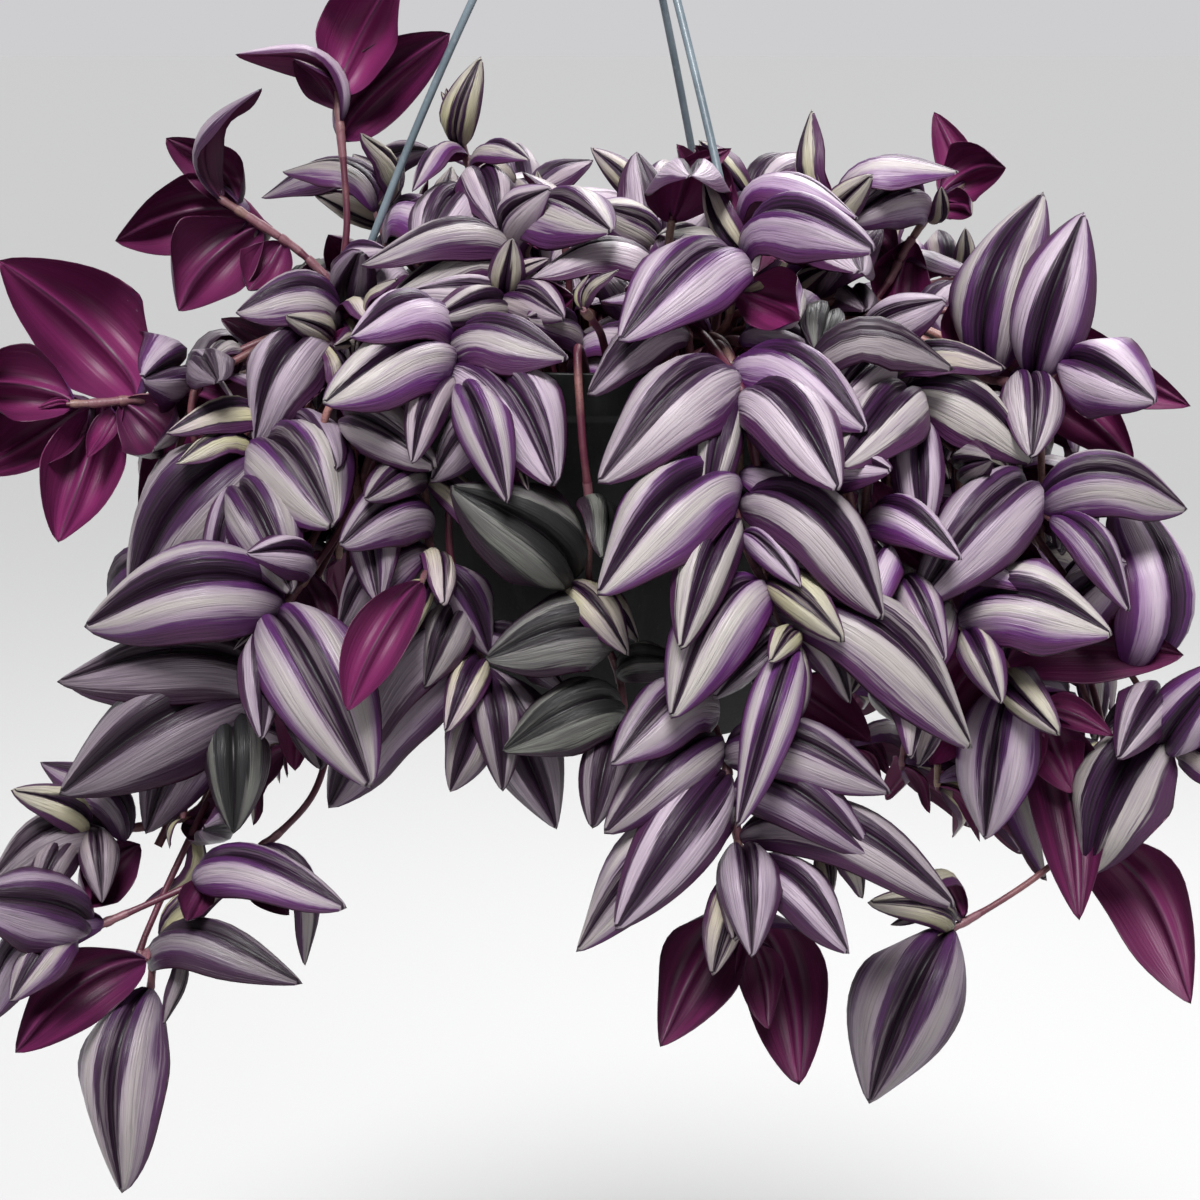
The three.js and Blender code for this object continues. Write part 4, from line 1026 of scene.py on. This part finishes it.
# The plant's outline as it is seen from the front: millimetres right of and above the aim.
FRONT_OUTLINE = np.array(
    [
        (-133, 120), (-104, 143), (-77, 172), (-31, 174), (0, 166), (16, 174), (46, 160), (77, 155),
        (116, 168), (139, 155), (155, 150), (178, 152), (197, 120), (212, 104), (224, 46), (216, 4),
        (229, -15), (229, -46), (224, -77), (201, -102), (178, -108), (139, -97), (116, -116),
        (97, -139), (-4, -135), (0, -89), (-23, -85), (-50, -73), (-104, -77), (-131, -89),
        (-193, -116), (-224, -97), (-212, -77), (-205, -31), (-181, 46), (-174, 77), (-143, 100),
    ]
)
POT_GAP = (-27, 19, -36, 74)  # left, right, bottom and top of the place where the pot shows
MOST_DEPTH = 176 * MM  # from the pot's axis to the front or the back of the plant
# How far leaves stay over the rim and off its band, and the cone round the wall that they stay out of.
OVER_RIM, BAND, OFF_BAND = 2 * MM, 22 * MM, 3 * MM
CONE_RADIUS, CONE_TOP, CONE_SLOPE = 97 * MM, -18 * MM, 0.213
MOST_HIDING = 0.3  # share of a new leaf that may cover packed leaves of the front
SIGHT = 300 * MM  # how far behind the new leaf they are looked for


def seen_from_front(points):
    """Millimetres right of and above the aim at which points are seen from the front."""
    offset = points - VIEW_AIM
    upwards = np.array([0, math.sin(VIEW_TILT), math.cos(VIEW_TILT)])
    scale = VIEW_DISTANCE / (VIEW_DISTANCE - offset @ TO_EYE) / MM
    return np.stack([offset[:, 0] * scale, offset @ upwards * scale], 1)


def within(points, corners):
    """Whether each flat point lies inside a polygon."""
    inside = np.zeros(len(points), bool)
    for (x1, y1), (x2, y2) in zip(corners, np.roll(corners, 1, axis=0)):
        crosses = (points[:, 1] < y1) != (points[:, 1] < y2)
        inside ^= crosses & (points[:, 0] < (x2 - x1) * (points[:, 1] - y1) / (y2 - y1 + 1e-9) + x1)
    return inside


def coarse_plant(leaves, lines=()):
    """Coarse sheets for leaves and flat ribbons for stem lines, to test for cuts."""
    points, faces = [], []
    for leaf in leaves:
        faces += [tuple(corner + len(points) for corner in face) for face in SHEET_FACES]
        points += sheet_of(leaf).tolist()
    for line in lines:
        ribbon = smooth_line(line, RIBBON_STEP)
        side = unit(np.cross(ribbon[-1] - ribbon[0], [0.3, 0.5, 0.8])) * STEM_RADIUS
        for a, b in zip(ribbon, ribbon[1:]):
            faces.append(tuple(range(len(points), len(points) + 4)))
            points += [corner.tolist() for corner in (a + side, b + side, b - side, a - side)]
    return BVHTree.FromPolygons(points, faces)


class Crowd:
    """What stands already, as coarse sheets that new leaves keep clear of."""

    def __init__(self, front_leaves):
        self.sheets = []
        self.fronts = coarse_plant(front_leaves)

    def hold(self, leaves, lines):
        """Adds leaves and stem lines."""
        self.sheets.append(coarse_plant(leaves, lines))

    def veils(self, leaf):
        """Whether too much of a leaf covers packed leaves of the front, seen from the front."""
        back = Vector(-TO_EYE)
        points = sheet_of(leaf)
        hits = [self.fronts.ray_cast(Vector(point), back, SIGHT)[0] for point in points]
        return sum(hit is not None for hit in hits) > MOST_HIDING * len(points)

    def clear(self, leaf):
        """Whether a leaf cuts through nothing here."""
        sheet = sheet_tree(leaf)
        return not any(sheet.overlap(other) for other in self.sheets)


def has_room(leaf, crowd):
    """Whether a leaf keeps inside the plant's outline and clear of the pot and the other leaves."""
    points = sheet_of(leaf)
    radius = np.hypot(points[:, 0], points[:, 1])
    height = points[:, 2] - RIM_TOP
    cone = CONE_RADIUS + CONE_SLOPE * (height - CONE_TOP)
    wall = np.where(height > -BAND, RIM_RADIUS + OFF_BAND, cone)
    in_pot = (points[:, 2] < RIM_TOP + OVER_RIM) & (radius < wall)
    if in_pot.any() or (np.abs(points[:, 1]) > MOST_DEPTH).any():
        return False
    seen = seen_from_front(points)
    left, right, bottom, top = POT_GAP
    x, y = seen[:, 0], seen[:, 1]
    in_gap = (x > left) & (x < right) & (y > bottom) & (y < top) & (points[:, 1] < 0)
    if in_gap.any() or not within(seen, FRONT_OUTLINE).all():
        return False
    return crowd.clear(leaf) and not crowd.veils(leaf)


BARE_SHARE = 0.3  # of a shoot's stem, from its foot, that has no leaves
TIP_BREADTH, SHOOT_BREADTH = 0.2, 0.27  # half-breadth to length, of its tip's leaf and the others
# Distance from the tip in mm, length as a share of a grown leaf's, and degrees off the stem.
SHOOT_LEAVES = [
    (0, 0.26, 6), (3, 0.46, 20), (8, 0.68, 36), (16, 0.86, 50), (28, 0.98, 60), (43, 1, 66),
    (60, 1, 70), (78, 0.96, 72), (97, 0.92, 74), (117, 0.9, 76), (138, 0.86, 78), (160, 0.8, 80),
]


def shoot_leaf(line, along, place, form, hand, rng):
    """A leaf of a shoot, on one hand of its stem, or None where the stem has none."""
    off_tip, share, angle = place
    spot = along[-1] - off_tip * MM
    if spot < BARE_SHARE * along[-1]:
        return None
    root, back, ahead = at_lengths(line, along, [spot, spot - 2 * MM, spot + 2 * MM])
    way = unit(ahead - back)
    radial = unit(np.array([root[0], root[1], 0.0]))
    angle = math.radians(angle + rng.uniform(-16, 12))
    if form["trails"]:
        facing = radial + 0.45 * UP
        normal = unit(facing - (facing @ way) * way)
        side = np.cross(way, normal)
        heading = math.cos(angle) * way + hand * math.sin(angle) * side
        heading = unit(heading + rng.uniform(-0.05, 0.5) * normal - rng.uniform(0, 0.45) * UP)
        up = unit(normal + rng.uniform(-0.35, 0.35) * side + 0.25 * UP)
        if rng.random() < TURNED_SHARE:
            up = -up
    else:
        swing = hand * rng.uniform(0.35, 1.5)
        level = math.cos(swing) * radial + math.sin(swing) * np.cross(UP, radial)
        heading = unit(math.sin(angle) * level + (math.cos(angle) - rng.uniform(0.1, 0.5)) * UP)
        up = unit(UP + rng.uniform(-0.3, 0.3) * np.cross(level, UP) + 0.15 * radial)
    up = unit(up - (up @ heading) * heading)
    length = form["leaf"] * share * rng.uniform(0.88, 1.1)
    breadth = (SHOOT_BREADTH if off_tip else TIP_BREADTH) * rng.uniform(0.94, 1.1)
    return Leaf(root, heading, up, length, breadth * length)


def cylinder_point(turn, radius, height):
    """A point by its turn about the pot's axis, its radius and its height over the rim, in mm.

    Far out, the plant reaches further to its sides than to the front and the back.
    """
    stretch = 1 + 0.3 * max(0, radius - 105) / 30 * math.cos(turn) ** 2
    reach = radius * stretch * MM
    return np.array([reach * math.cos(turn), reach * math.sin(turn), height * MM + RIM_TOP])


def trailing_knots(turn, root, reach, drop, rng):
    """Knots of a stem from the mix over the rim and down."""
    lift = rng.uniform(4, 16)
    swing = rng.uniform(-0.22, 0.22)
    heights = np.arange(-14, -drop, -32)
    knots = [(turn, root, -28), (turn, root + 4, -6), (turn, (root + 96) / 2, lift)]
    knots += [(turn + 0.1 * swing, 102, lift + 2), (turn + 0.2 * swing, reach - 4, -2)]
    for height in [*heights[:-1], -drop]:
        share = height / -drop
        radius = reach + 8 * share + rng.uniform(-2, 3)
        knots.append((turn + swing * (0.2 + 0.8 * share), radius, height))
    return np.array([cylinder_point(*knot) for knot in knots])


def rising_knots(turn, root, reach, height, rng):
    """Knots of a stem that rises from the mix and leans outwards."""
    swing = rng.uniform(-0.3, 0.3)
    knots = [(turn, root, -28), (turn, root + 3, -6)]
    for share in (0.35, 0.7, 1):
        radius = root + reach * share**1.4
        knots.append((turn + swing * share, radius, height * share**0.8))
    return np.array([cylinder_point(*knot) for knot in knots])


# How many shoots, their shape, root radius, reach, drop or height, and leaf length, in mm.
SHOOT_KINDS = [
    (24, trailing_knots, (62, 86), (110, 118), (26, 50), (38, 50)),
    (26, trailing_knots, (48, 84), (114, 126), (52, 100), (40, 54)),
    (24, trailing_knots, (40, 84), (118, 134), (100, 168), (42, 56)),
    (16, rising_knots, (4, 30), (4, 18), (38, 78), (36, 48)),
    (26, rising_knots, (34, 62), (12, 34), (26, 70), (38, 50)),
    (32, rising_knots, (60, 86), (22, 50), (14, 60), (38, 52)),
]
TRIES = 7  # at a place for each leaf of a shoot
LEAST_LEAVES = 3  # of a shoot
TURNED_SHARE = 0.12  # of a trailing shoot's leaves that show their underside
SECTORS = 8
FIRST_TURN, GOLDEN_TURN = 0.4, math.pi * (3 - math.sqrt(5))  # of the shoots about the pot's axis


def grow_shoot(kind, turn, crowd, growth):
    """Adds a shoot to a piece where its leaves find room."""
    rng = growth.rng
    _, knots_of, roots, reaches, spans, leaf_lengths = kind
    root, reach, span, length = (rng.uniform(*pair) for pair in (roots, reaches, spans, leaf_lengths))
    knots = knots_of(turn, root, reach, span, rng)
    line = smooth_line(knots, STEM_STEP)
    along = lengths_along(line)
    form = {"leaf": length * MM, "trails": knots_of is trailing_knots}
    hand = rng.choice([-1, 1])
    age = rng.uniform(0, 0.6)
    leaves = []
    for place in SHOOT_LEAVES:
        hand = -hand
        for _ in range(TRIES):
            leaf = shoot_leaf(line, along, place, form, hand, rng)
            if leaf and has_room(leaf, crowd) and all(apart(leaf, other) for other in leaves):
                leaf.age = float(np.clip(age * (0.4 + place[0] / 80) + rng.normal(0, 0.1), 0, 1))
                leaves.append(leaf)
                break
    if len(leaves) < LEAST_LEAVES:
        return
    set_youth(leaves, line[-1])
    leaves = [leaf for leaf in leaves if growth.leaf(leaf, INFILL_GRID, INFILL_FREEDOM, SHOOT_MOST_CUTS)]
    if leaves:
        crowd.hold(leaves, [knots])
        growth.stem(knots, leaves, SHOOT_THICK)


def hold_strands_and_stems():
    """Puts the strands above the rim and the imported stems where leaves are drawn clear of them."""
    for turn in LUG_TURNS:
        line, _ = strand_line(turn)
        THICKET.hold_line(line[len(STRAND_KNOB) - 1 :], STRAND_RADIUS)
    for node in LEAFY_NODES:
        for line in stems_of(node, leaves_of(node)):
            THICKET.hold_line(coarse_line(line), STEM_RADIUS)


def grow_plant():
    """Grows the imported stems, then fills the plant out with shoots, a piece for each sector."""
    packed = {node: packed_growth(order, node) for order, node in enumerate(FRONT_FIRST)}
    fronts = [leaf for node, (leaves, _) in packed.items() if "_back_" not in node for leaf in leaves]
    crowd = Crowd(fronts)
    for leaves, lines in packed.values():
        crowd.hold(leaves, lines)
    sectors = [Growth(np.random.default_rng(SHOOT_SEED + k)) for k in range(SECTORS)]
    turn = FIRST_TURN
    for kind in SHOOT_KINDS:
        for _ in range(kind[0]):
            turn = (turn + GOLDEN_TURN) % math.tau
            grow_shoot(kind, turn, crowd, sectors[int(turn / math.tau * SECTORS)])
    for k, growth in enumerate(sectors):
        growth.piece(f"infill_shoots_{k + 1}")


# ---------------------------------------------------------------- pot, mix and hanger
BASE_RADIUS = 68 * MM
WALL = 2 * MM
MIX_TOP = 124 * MM
FIT = 0.4 * MM
# The pot's outline as radii and heights in mm: its foot, wall and rim band, then back down inside.
POT_OUTSIDE = [(0, 3), (59, 3), (61, 0), (68, 0), (94, 122), (97, 125), (100, 140)]
POT_INSIDE = [(97, 140), (96, 127), (92, 122)]
POT_FLOOR = 5 * MM  # height of its upper face
MIX_SINK = 0.6 * MM  # of the mix's face below the height that it fills the pot to
MIX_UNEVEN = (-0.9, 0.5)  # how far the face dips and rises, in mm
MIX_RINGS = 26
CROWN_OUTLINE = [(0, 350), (9, 350), (11, 353), (10, 362), (5, 366), (0, 366)]  # in mm as well
POT_EDGE, CROWN_EDGE, LUG_EDGE = 0.9 * MM, 1.2 * MM, 0.7 * MM  # size of their rounded edges
POT_SIDES, MIX_SIDES, CROWN_SIDES, HOLE_SIDES, ROD_SIDES = 144, 72, 48, 24, 20
ROUNDING_STEPS = 4  # faces across a rounded edge
SHARP_EDGE = math.radians(35)  # from which an edge stays sharp
LUG_TURNS = [math.radians(turn) for turn in (182, 302, 62)]
LUG_ROOT, LUG_REACH = 96 * MM, 107 * MM  # radii from within the rim's wall to the lug's end
LUG_WIDE, LUG_TALL, LUG_TOP = 14 * MM, 5 * MM, 136 * MM
EYELET_RADIUS, EYELET_CIRCLE, EYELET_CUT = 2.3 * MM, 101.5 * MM, (120 * MM, 150 * MM)
DRAIN_HOLES, DRAIN_RADIUS, DRAIN_CIRCLE, DRAIN_CUT = 5, 4 * MM, 44 * MM, (-4 * MM, 10 * MM)
STRAND_RADIUS, ROD_RADIUS = 1.5 * MM, 2.4 * MM
# The knob under a lug, as heights over the pot's base and radii, in mm.
STRAND_KNOB = [(126.6, 0.8), (126.9, 2.4), (127.6, 3), (129.6, 3)]
STRAND_KNOB += [(130.3, 2.5), (130.6, 1.5), (134, 1.5)]
# Radius and height of a strand's foot over its lug, of the point that it flares to and of its top.
STRAND_FOOT = (EYELET_CIRCLE, 139 * MM)
STRAND_FLARE, STRAND_TOP = (74 * MM, 225 * MM), (3.5 * MM, 356 * MM)
HOOK_NECK = (362 * MM, 370 * MM)  # heights of two points on the axis
HOOK_RADIUS, HOOK_CENTRE = 15 * MM, 391.4 * MM


def wall_radius(height):
    """The outer radius of the pot's wall at a height over its base."""
    return BASE_RADIUS + 26 * MM * height / (122 * MM)


def rounded(profile, size):
    """A profile with its inner corners rounded off, up to a size."""
    points = [np.array(profile[0], float)]
    for before, corner, after in zip(profile, profile[1:], profile[2:]):
        before, corner, after = (np.array(point, float) for point in (before, corner, after))
        cut = min(size, 0.45 * np.linalg.norm(before - corner), 0.45 * np.linalg.norm(after - corner))
        start, end = corner + cut * unit(before - corner), corner + cut * unit(after - corner)
        for t in np.linspace(0, 1, ROUNDING_STEPS + 1):
            points.append((1 - t) ** 2 * start + 2 * t * (1 - t) * corner + t**2 * end)
    points.append(np.array(profile[-1], float))
    return points


def turned(profile, sides):
    """Points and faces of a profile of (radius, height over the pot's base) turned about the axis.

    It goes from the axis, outwards, up and back to the axis.
    """
    turns = np.arange(sides) * math.tau / sides
    points = [(0, 0, profile[0][1])]
    for radius, height in profile[1:-1]:
        points += [(radius * math.cos(turn), radius * math.sin(turn), height) for turn in turns]
    points.append((0, 0, profile[-1][1]))
    rows = len(profile) - 2
    faces = []
    for k in range(sides):
        m = (k + 1) % sides
        faces.append((0, 1 + m, 1 + k))
        faces.append((len(points) - 1, 1 + (rows - 1) * sides + k, 1 + (rows - 1) * sides + m))
        for row in range(rows - 1):
            low, high = 1 + row * sides, 1 + (row + 1) * sides
            faces.append((low + k, low + m, high + m, high + k))
    return np.array(points) - [0, 0, HANG_HEIGHT], faces


def finish_edges(mesh):
    """Smooth faces, but for the sharp edges."""
    mesh.polygons.foreach_set("use_smooth", np.ones(len(mesh.polygons), bool))
    mesh.set_sharp_from_angle(angle=SHARP_EDGE)


def solid(name, points, faces):
    """A new object of the scene with these points and faces."""
    mesh = bpy.data.meshes.new(name)
    mesh.from_pydata(points, [], faces)
    return in_scene(name, mesh)


def pin(radius, low, high):
    """A plain upright cylinder's points and faces, about the axis."""
    return turned([(0, low), (radius, low), (radius, high), (0, high)], HOLE_SIDES)


def lug(turn):
    """A rounded tab that stands out from the rim."""
    half = LUG_WIDE / 2
    end = LUG_REACH - half
    corners = [(LUG_ROOT, -half), (end, -half)]
    for angle in np.linspace(0.15, math.pi - 0.15, 13):
        corners.append((end + half * math.sin(angle), -half * math.cos(angle)))
    corners += [(end, half), (LUG_ROOT, half)]
    centre = np.array([end, 0])
    points, rings = [], []
    low, high, edge = LUG_TOP - LUG_TALL, LUG_TOP, LUG_EDGE
    for height, inset in ((low, edge), (low + edge, 0), (high - edge, 0), (high, edge)):
        rings.append([len(points) + k for k in range(len(corners))])
        for corner in corners:
            place = np.array(corner) - inset * unit(np.array(corner) - centre) * (corner[0] > LUG_ROOT)
            along = place[0] * np.array([math.cos(turn), math.sin(turn)])
            across = place[1] * np.array([-math.sin(turn), math.cos(turn)])
            points.append((*(along + across), height - HANG_HEIGHT))
    faces = [tuple(rings[0][::-1]), tuple(rings[-1])]
    count = len(corners)
    for lower, upper in zip(rings, rings[1:]):
        faces += [
            (lower[k], lower[(k + 1) % count], upper[(k + 1) % count], upper[k]) for k in range(count)
        ]
    return points, faces


def combine(base, tools, operation):
    """Adds the tools to the base or cuts them out of it, and removes them."""
    for tool in tools:
        modifier = base.modifiers.new(operation, "BOOLEAN")
        modifier.object = tool
        modifier.operation = operation
        modifier.solver = "EXACT"
    evaluated = base.evaluated_get(bpy.context.evaluated_depsgraph_get())
    mesh = bpy.data.meshes.new_from_object(evaluated)
    base.modifiers.clear()
    base.data = mesh
    for tool in tools:
        bpy.data.objects.remove(tool)


def pot_plastic():
    """Near-black plastic, dulled by dust and by the marks of dried water."""
    material, w, principled = new_material("black pot plastic")
    clouds, dust = w.placed(MOTTLE, {"Cloud scale": 24.0, "Speck scale": 900.0})
    x, y, z = w.split(w.spot())
    runs = w.noise(w.vector(x, y, w.times(z, 0.12)), 130.0, 3.0)
    base = w.mix(w.step(clouds, 0.35, 0.65), colour(10, 11, 12), colour(17, 18, 19))
    base = w.mix(w.step(runs, 0.52, 0.7, 0.0, 0.3), base, colour(44, 46, 44))
    looks = {
        "Base Color": w.mix(w.step(dust, 0.6, 0.75, 0.0, 0.2), base, colour(70, 68, 62)),
        "Roughness": w.step(clouds, 0.3, 0.7, 0.42, 0.58),
        "Specular IOR Level": 0.3,
        "Normal": w.bump(dust, 0.08 * MM),
    }
    w.fill(principled, looks)
    return material


def make_pot():
    """The pot with its lugs, and the holes for the strands and the water."""
    profile = [(radius * MM, height * MM) for radius, height in POT_OUTSIDE + POT_INSIDE]
    profile += [(wall_radius(POT_FLOOR) - WALL, POT_FLOOR), (0, POT_FLOOR)]
    pot = solid("hanging_pot", *turned(rounded(profile, POT_EDGE), POT_SIDES))
    pot.data.materials.append(pot_plastic())
    combine(pot, [solid("lug", *lug(turn)) for turn in LUG_TURNS], "UNION")
    holes = [(turn, EYELET_CIRCLE, EYELET_RADIUS, *EYELET_CUT) for turn in LUG_TURNS]
    for k in range(DRAIN_HOLES):
        holes.append((k * math.tau / DRAIN_HOLES, DRAIN_CIRCLE, DRAIN_RADIUS, *DRAIN_CUT))
    cutters = []
    for turn, circle, radius, low, high in holes:
        points, faces = pin(radius, low, high)
        offset = [circle * math.cos(turn), circle * math.sin(turn), 0]
        cutters.append(solid("hole", points + offset, faces))
    combine(pot, cutters, "DIFFERENCE")
    finish_edges(pot.data)
    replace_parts(pot, "pot")
    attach(pot, "root")


def crumb_tree():
    """Scatters crumbs of two kinds over the level faces of a mesh."""
    inputs = {
        "Ground": (GEOMETRY, None),
        "Spacing": (FLOAT, 2.2 * MM),
        "Crumb size": (FLOAT, 1.6 * MM),
        "Pale share": (FLOAT, 0.1),
        "Seed": (WHOLE, 3),
        "Bark": (MATERIAL, None),
        "Perlite": (MATERIAL, None),
    }
    w, inside, outside = new_group("crumbs", "GeometryNodeTree", inputs, {"Ground": GEOMETRY})
    normal = w.node("GeometryNodeInputNormal").outputs[0]
    level = w.math("GREATER_THAN", w.split(normal)[2], 0.6)
    inputs = {"Mesh": inside["Ground"], "Selection": level, "Density Max": 3e5}
    inputs |= {"Distance Min": inside["Spacing"], "Seed": inside["Seed"]}
    spots = w.node("GeometryNodeDistributePointsOnFaces", inputs, distribute_method="POISSON").outputs[0]
    ball = w.node("GeometryNodeMeshIcoSphere", {"Radius": 1.0, "Subdivisions": 1}).outputs[0]
    inputs = {0: (0.35, 0.35, 0.3), 1: (1.0, 0.8, 0.6), "Seed": inside["Seed"]}
    shape = w.node("FunctionNodeRandomValue", inputs, data_type="FLOAT_VECTOR").outputs[0]
    inputs = {0: shape, "Scale": inside["Crumb size"]}
    size = w.node("ShaderNodeVectorMath", inputs, operation="SCALE").outputs[0]
    turn = w.node("FunctionNodeRandomValue", {1: [math.tau] * 3}, data_type="FLOAT_VECTOR").outputs[0]
    inputs = {"Points": spots, "Instance": ball, "Scale": size, "Rotation": turn}
    crumbs = w.node("GeometryNodeInstanceOnPoints", inputs).outputs[0]
    pale = w.node("FunctionNodeRandomValue", data_type="FLOAT").outputs[1]
    is_pale = w.math("LESS_THAN", pale, inside["Pale share"])
    inputs = {"Geometry": crumbs, "Name": "pale", "Value": is_pale}
    marked = w.node("GeometryNodeStoreNamedAttribute", inputs, domain="INSTANCE").outputs[0]
    skins = [(inside["Bark"], True), (inside["Perlite"], w.named("pale"))]
    w.fill(outside, {"Ground": w.clothed([inside["Ground"], marked], skins)})
    return w.tree


def crumb_material(name, first, second, roughness):
    """A rough crumb in two shades."""
    material, w, principled = new_material(name)
    inputs = {"Cloud scale": 420.0, "Speck scale": 2600.0, "Speck detail": 2.0}
    shade, grit = w.placed(MOTTLE, inputs)
    base = w.mix(w.step(shade, 0.35, 0.65), first, second)
    w.fill(principled, {"Base Color": base, "Roughness": roughness, "Normal": w.bump(grit, 0.2 * MM)})
    return material


def make_mix():
    """The fill, level but uneven on top, with crumbs of bark and perlite."""
    rng = np.random.default_rng(MIX_SEED)
    low, level = POT_FLOOR + FIT, MIX_TOP - MIX_SINK
    foot, edge = (wall_radius(height) - WALL - FIT for height in (low, MIX_TOP))
    profile = [(0, low), (foot, low)]
    profile += [(edge * share, level) for share in np.linspace(1, 0.04, MIX_RINGS)] + [(0, level)]
    points, faces = turned(profile, MIX_SIDES)
    top = points[:, 2] > level - HANG_HEIGHT - MM
    points[top, 2] += rng.uniform(*MIX_UNEVEN, top.sum()) * MM
    mesh = bpy.data.meshes.new("mix")
    mesh.from_pydata(points, [], faces)
    bark = crumb_material("moist bark mix", colour(38, 27, 20), colour(74, 54, 40), 0.9)
    perlite = crumb_material("perlite", colour(196, 190, 176), colour(222, 218, 208), 0.85)
    mix = grown("potting_mix_fill", mesh, crumb_tree(), {"Bark": bark, "Perlite": perlite})
    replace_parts(mix, "potting_mix")
    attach(mix, "root")


def hanger_plastic():
    """Satin grey-blue plastic with faint scuffs."""
    material, w, principled = new_material("grey-blue hanger plastic")
    clouds, scuffs = w.placed(MOTTLE, {"Cloud scale": 40.0, "Speck scale": 700.0})
    base = w.mix(w.step(clouds, 0.35, 0.65), colour(90, 102, 110), colour(110, 122, 130))
    looks = {
        "Base Color": w.mix(w.step(scuffs, 0.55, 0.75, 0.0, 0.3), base, colour(140, 148, 150)),
        "Roughness": w.step(scuffs, 0.4, 0.7, 0.3, 0.42),
        "Normal": w.bump(scuffs, 0.04 * MM),
    }
    w.fill(principled, looks)
    return material


def strand_line(turn):
    """A strand's centre line from its knob under the lug to the crown, and its thickness."""
    places = [(EYELET_CIRCLE, height * MM) for height, _ in STRAND_KNOB]
    thickness = [radius * MM for _, radius in STRAND_KNOB]
    start, flare, end = (np.array(p) for p in (STRAND_FOOT, STRAND_FLARE, STRAND_TOP))
    for t in np.linspace(0, 1, 36):
        places.append(tuple((1 - t) ** 2 * start + 2 * t * (1 - t) * flare + t**2 * end))
        thickness.append(STRAND_RADIUS)
    points = [(r * math.cos(turn), r * math.sin(turn), h - HANG_HEIGHT) for r, h in places]
    return np.array(points), thickness


def hook_line():
    """The hook's centre line from inside the crown to its open end, and its thickness."""
    knots = [(0, height) for height in HOOK_NECK]
    for degrees in range(-56, 215, 45):
        angle = math.radians(degrees)
        knots.append((HOOK_RADIUS * math.cos(angle), HOOK_CENTRE + HOOK_RADIUS * math.sin(angle)))
    line = smooth_line([np.array([x, 0, height - HANG_HEIGHT]) for x, height in knots], 1.2 * MM)
    thickness = np.full(len(line), ROD_RADIUS)
    thickness[-3:] *= [0.97, 0.82, 0.45]
    return line, thickness


def bars(name, lines, body=((), ())):
    """One plain object of round bars, with the points and faces of a body joined on."""
    points, faces = [list(part) for part in body]
    thickness = [0.0] * len(points)
    edges = []
    for line, radii in lines:
        first = len(points)
        edges += [(first + k, first + k + 1) for k in range(len(line) - 1)]
        points += [tuple(point) for point in line]
        thickness += list(radii)
    mesh = bpy.data.meshes.new(name)
    mesh.from_pydata(points, edges, faces)
    mesh.materials.append(HANGER_PLASTIC)
    finish_edges(mesh)
    layer = mesh.attributes.new("thickness", "FLOAT", "POINT")
    layer.data.foreach_set("value", thickness)
    settings = {"Sides": ROD_SIDES, "Skin": HANGER_PLASTIC, "Sheath skin": HANGER_PLASTIC}
    piece = grown(name, mesh, ROUND_STEMS, settings)
    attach(piece, "root")
    return piece


HANGER_PLASTIC = hanger_plastic()


def make_hanger():
    """The three strands, and the hook with the crown that they end in."""
    for k, turn in enumerate(LUG_TURNS, 1):
        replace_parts(bars(f"strand_{k}", [strand_line(turn)]), f"hanger_strand_{k}")
    crown = rounded([(radius * MM, height * MM) for radius, height in CROWN_OUTLINE], CROWN_EDGE)
    hook = bars("hook_and_crown", [hook_line()], turned(crown, CROWN_SIDES))
    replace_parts(hook, "hanger_hook")


make_pot()
make_mix()
make_hanger()
hold_strands_and_stems()
grow_plant()


# ---------------------------------------------------------------- stage
FLOOR_SIZE, FLOOR_DROP = 400, 300 * MM  # the floor's side, and how far it lies below the part
SUN_POWER, SUN_WIDTH = 5.6, math.radians(24)
SUN_TURN = (math.radians(38), 0, math.radians(-6))
BACK_PLACE, BACK_SIZE, BACK_POWER = (0.5, 1.1, 1.1), 1.0, 44


def plain_material(name, shade, roughness):
    """A material of one colour, for the stage."""
    material, w, principled = new_material(name)
    w.fill(principled, {"Base Color": shade, "Roughness": roughness})
    return material


def back_light():
    """A soft square light behind the plant, turned to it."""
    lamp = bpy.data.lights.new("back", "AREA")
    lamp.size, lamp.energy = BACK_SIZE, BACK_POWER
    light = in_scene("back", lamp)
    light.location = BACK_PLACE
    light.rotation_euler = (Vector(VIEW_AIM) - light.location).to_track_quat("-Z", "Y").to_euler()


def sun_light():
    """A broad, soft light from above the viewer."""
    lamp = bpy.data.lights.new("sun", "SUN")
    lamp.energy, lamp.angle = SUN_POWER, SUN_WIDTH
    in_scene("sun", lamp).rotation_euler = SUN_TURN


def soft_world():
    """Pale surroundings, brightest about the horizon, for shading with some depth."""
    world = bpy.data.worlds.new("soft light")
    world.use_nodes = True
    w = Wiring(world.node_tree)
    direction = w.node("ShaderNodeTexCoord").outputs["Generated"]
    height = w.math("ABSOLUTE", w.split(direction)[2])
    light = {"Color": (0.98, 0.97, 1.0, 1), "Strength": w.step(height, 0.05, 0.4, 0.63, 0.18)}
    w.fill(world.node_tree.nodes["Background"], light)
    bpy.context.scene.world = world


def make_stage():
    """A pale floor well below the part, and soft light."""
    bpy.ops.mesh.primitive_plane_add(size=FLOOR_SIZE, location=(0, 0, CAD_BOX[0][2] - FLOOR_DROP))
    floor = bpy.context.object
    floor.name = "floor"
    floor.data.materials.append(plain_material("pale floor", colour(166, 166, 166), 0.9))
    soft_world()
    sun_light()
    back_light()
    bpy.context.scene.view_settings.view_transform = "Standard"


make_stage()
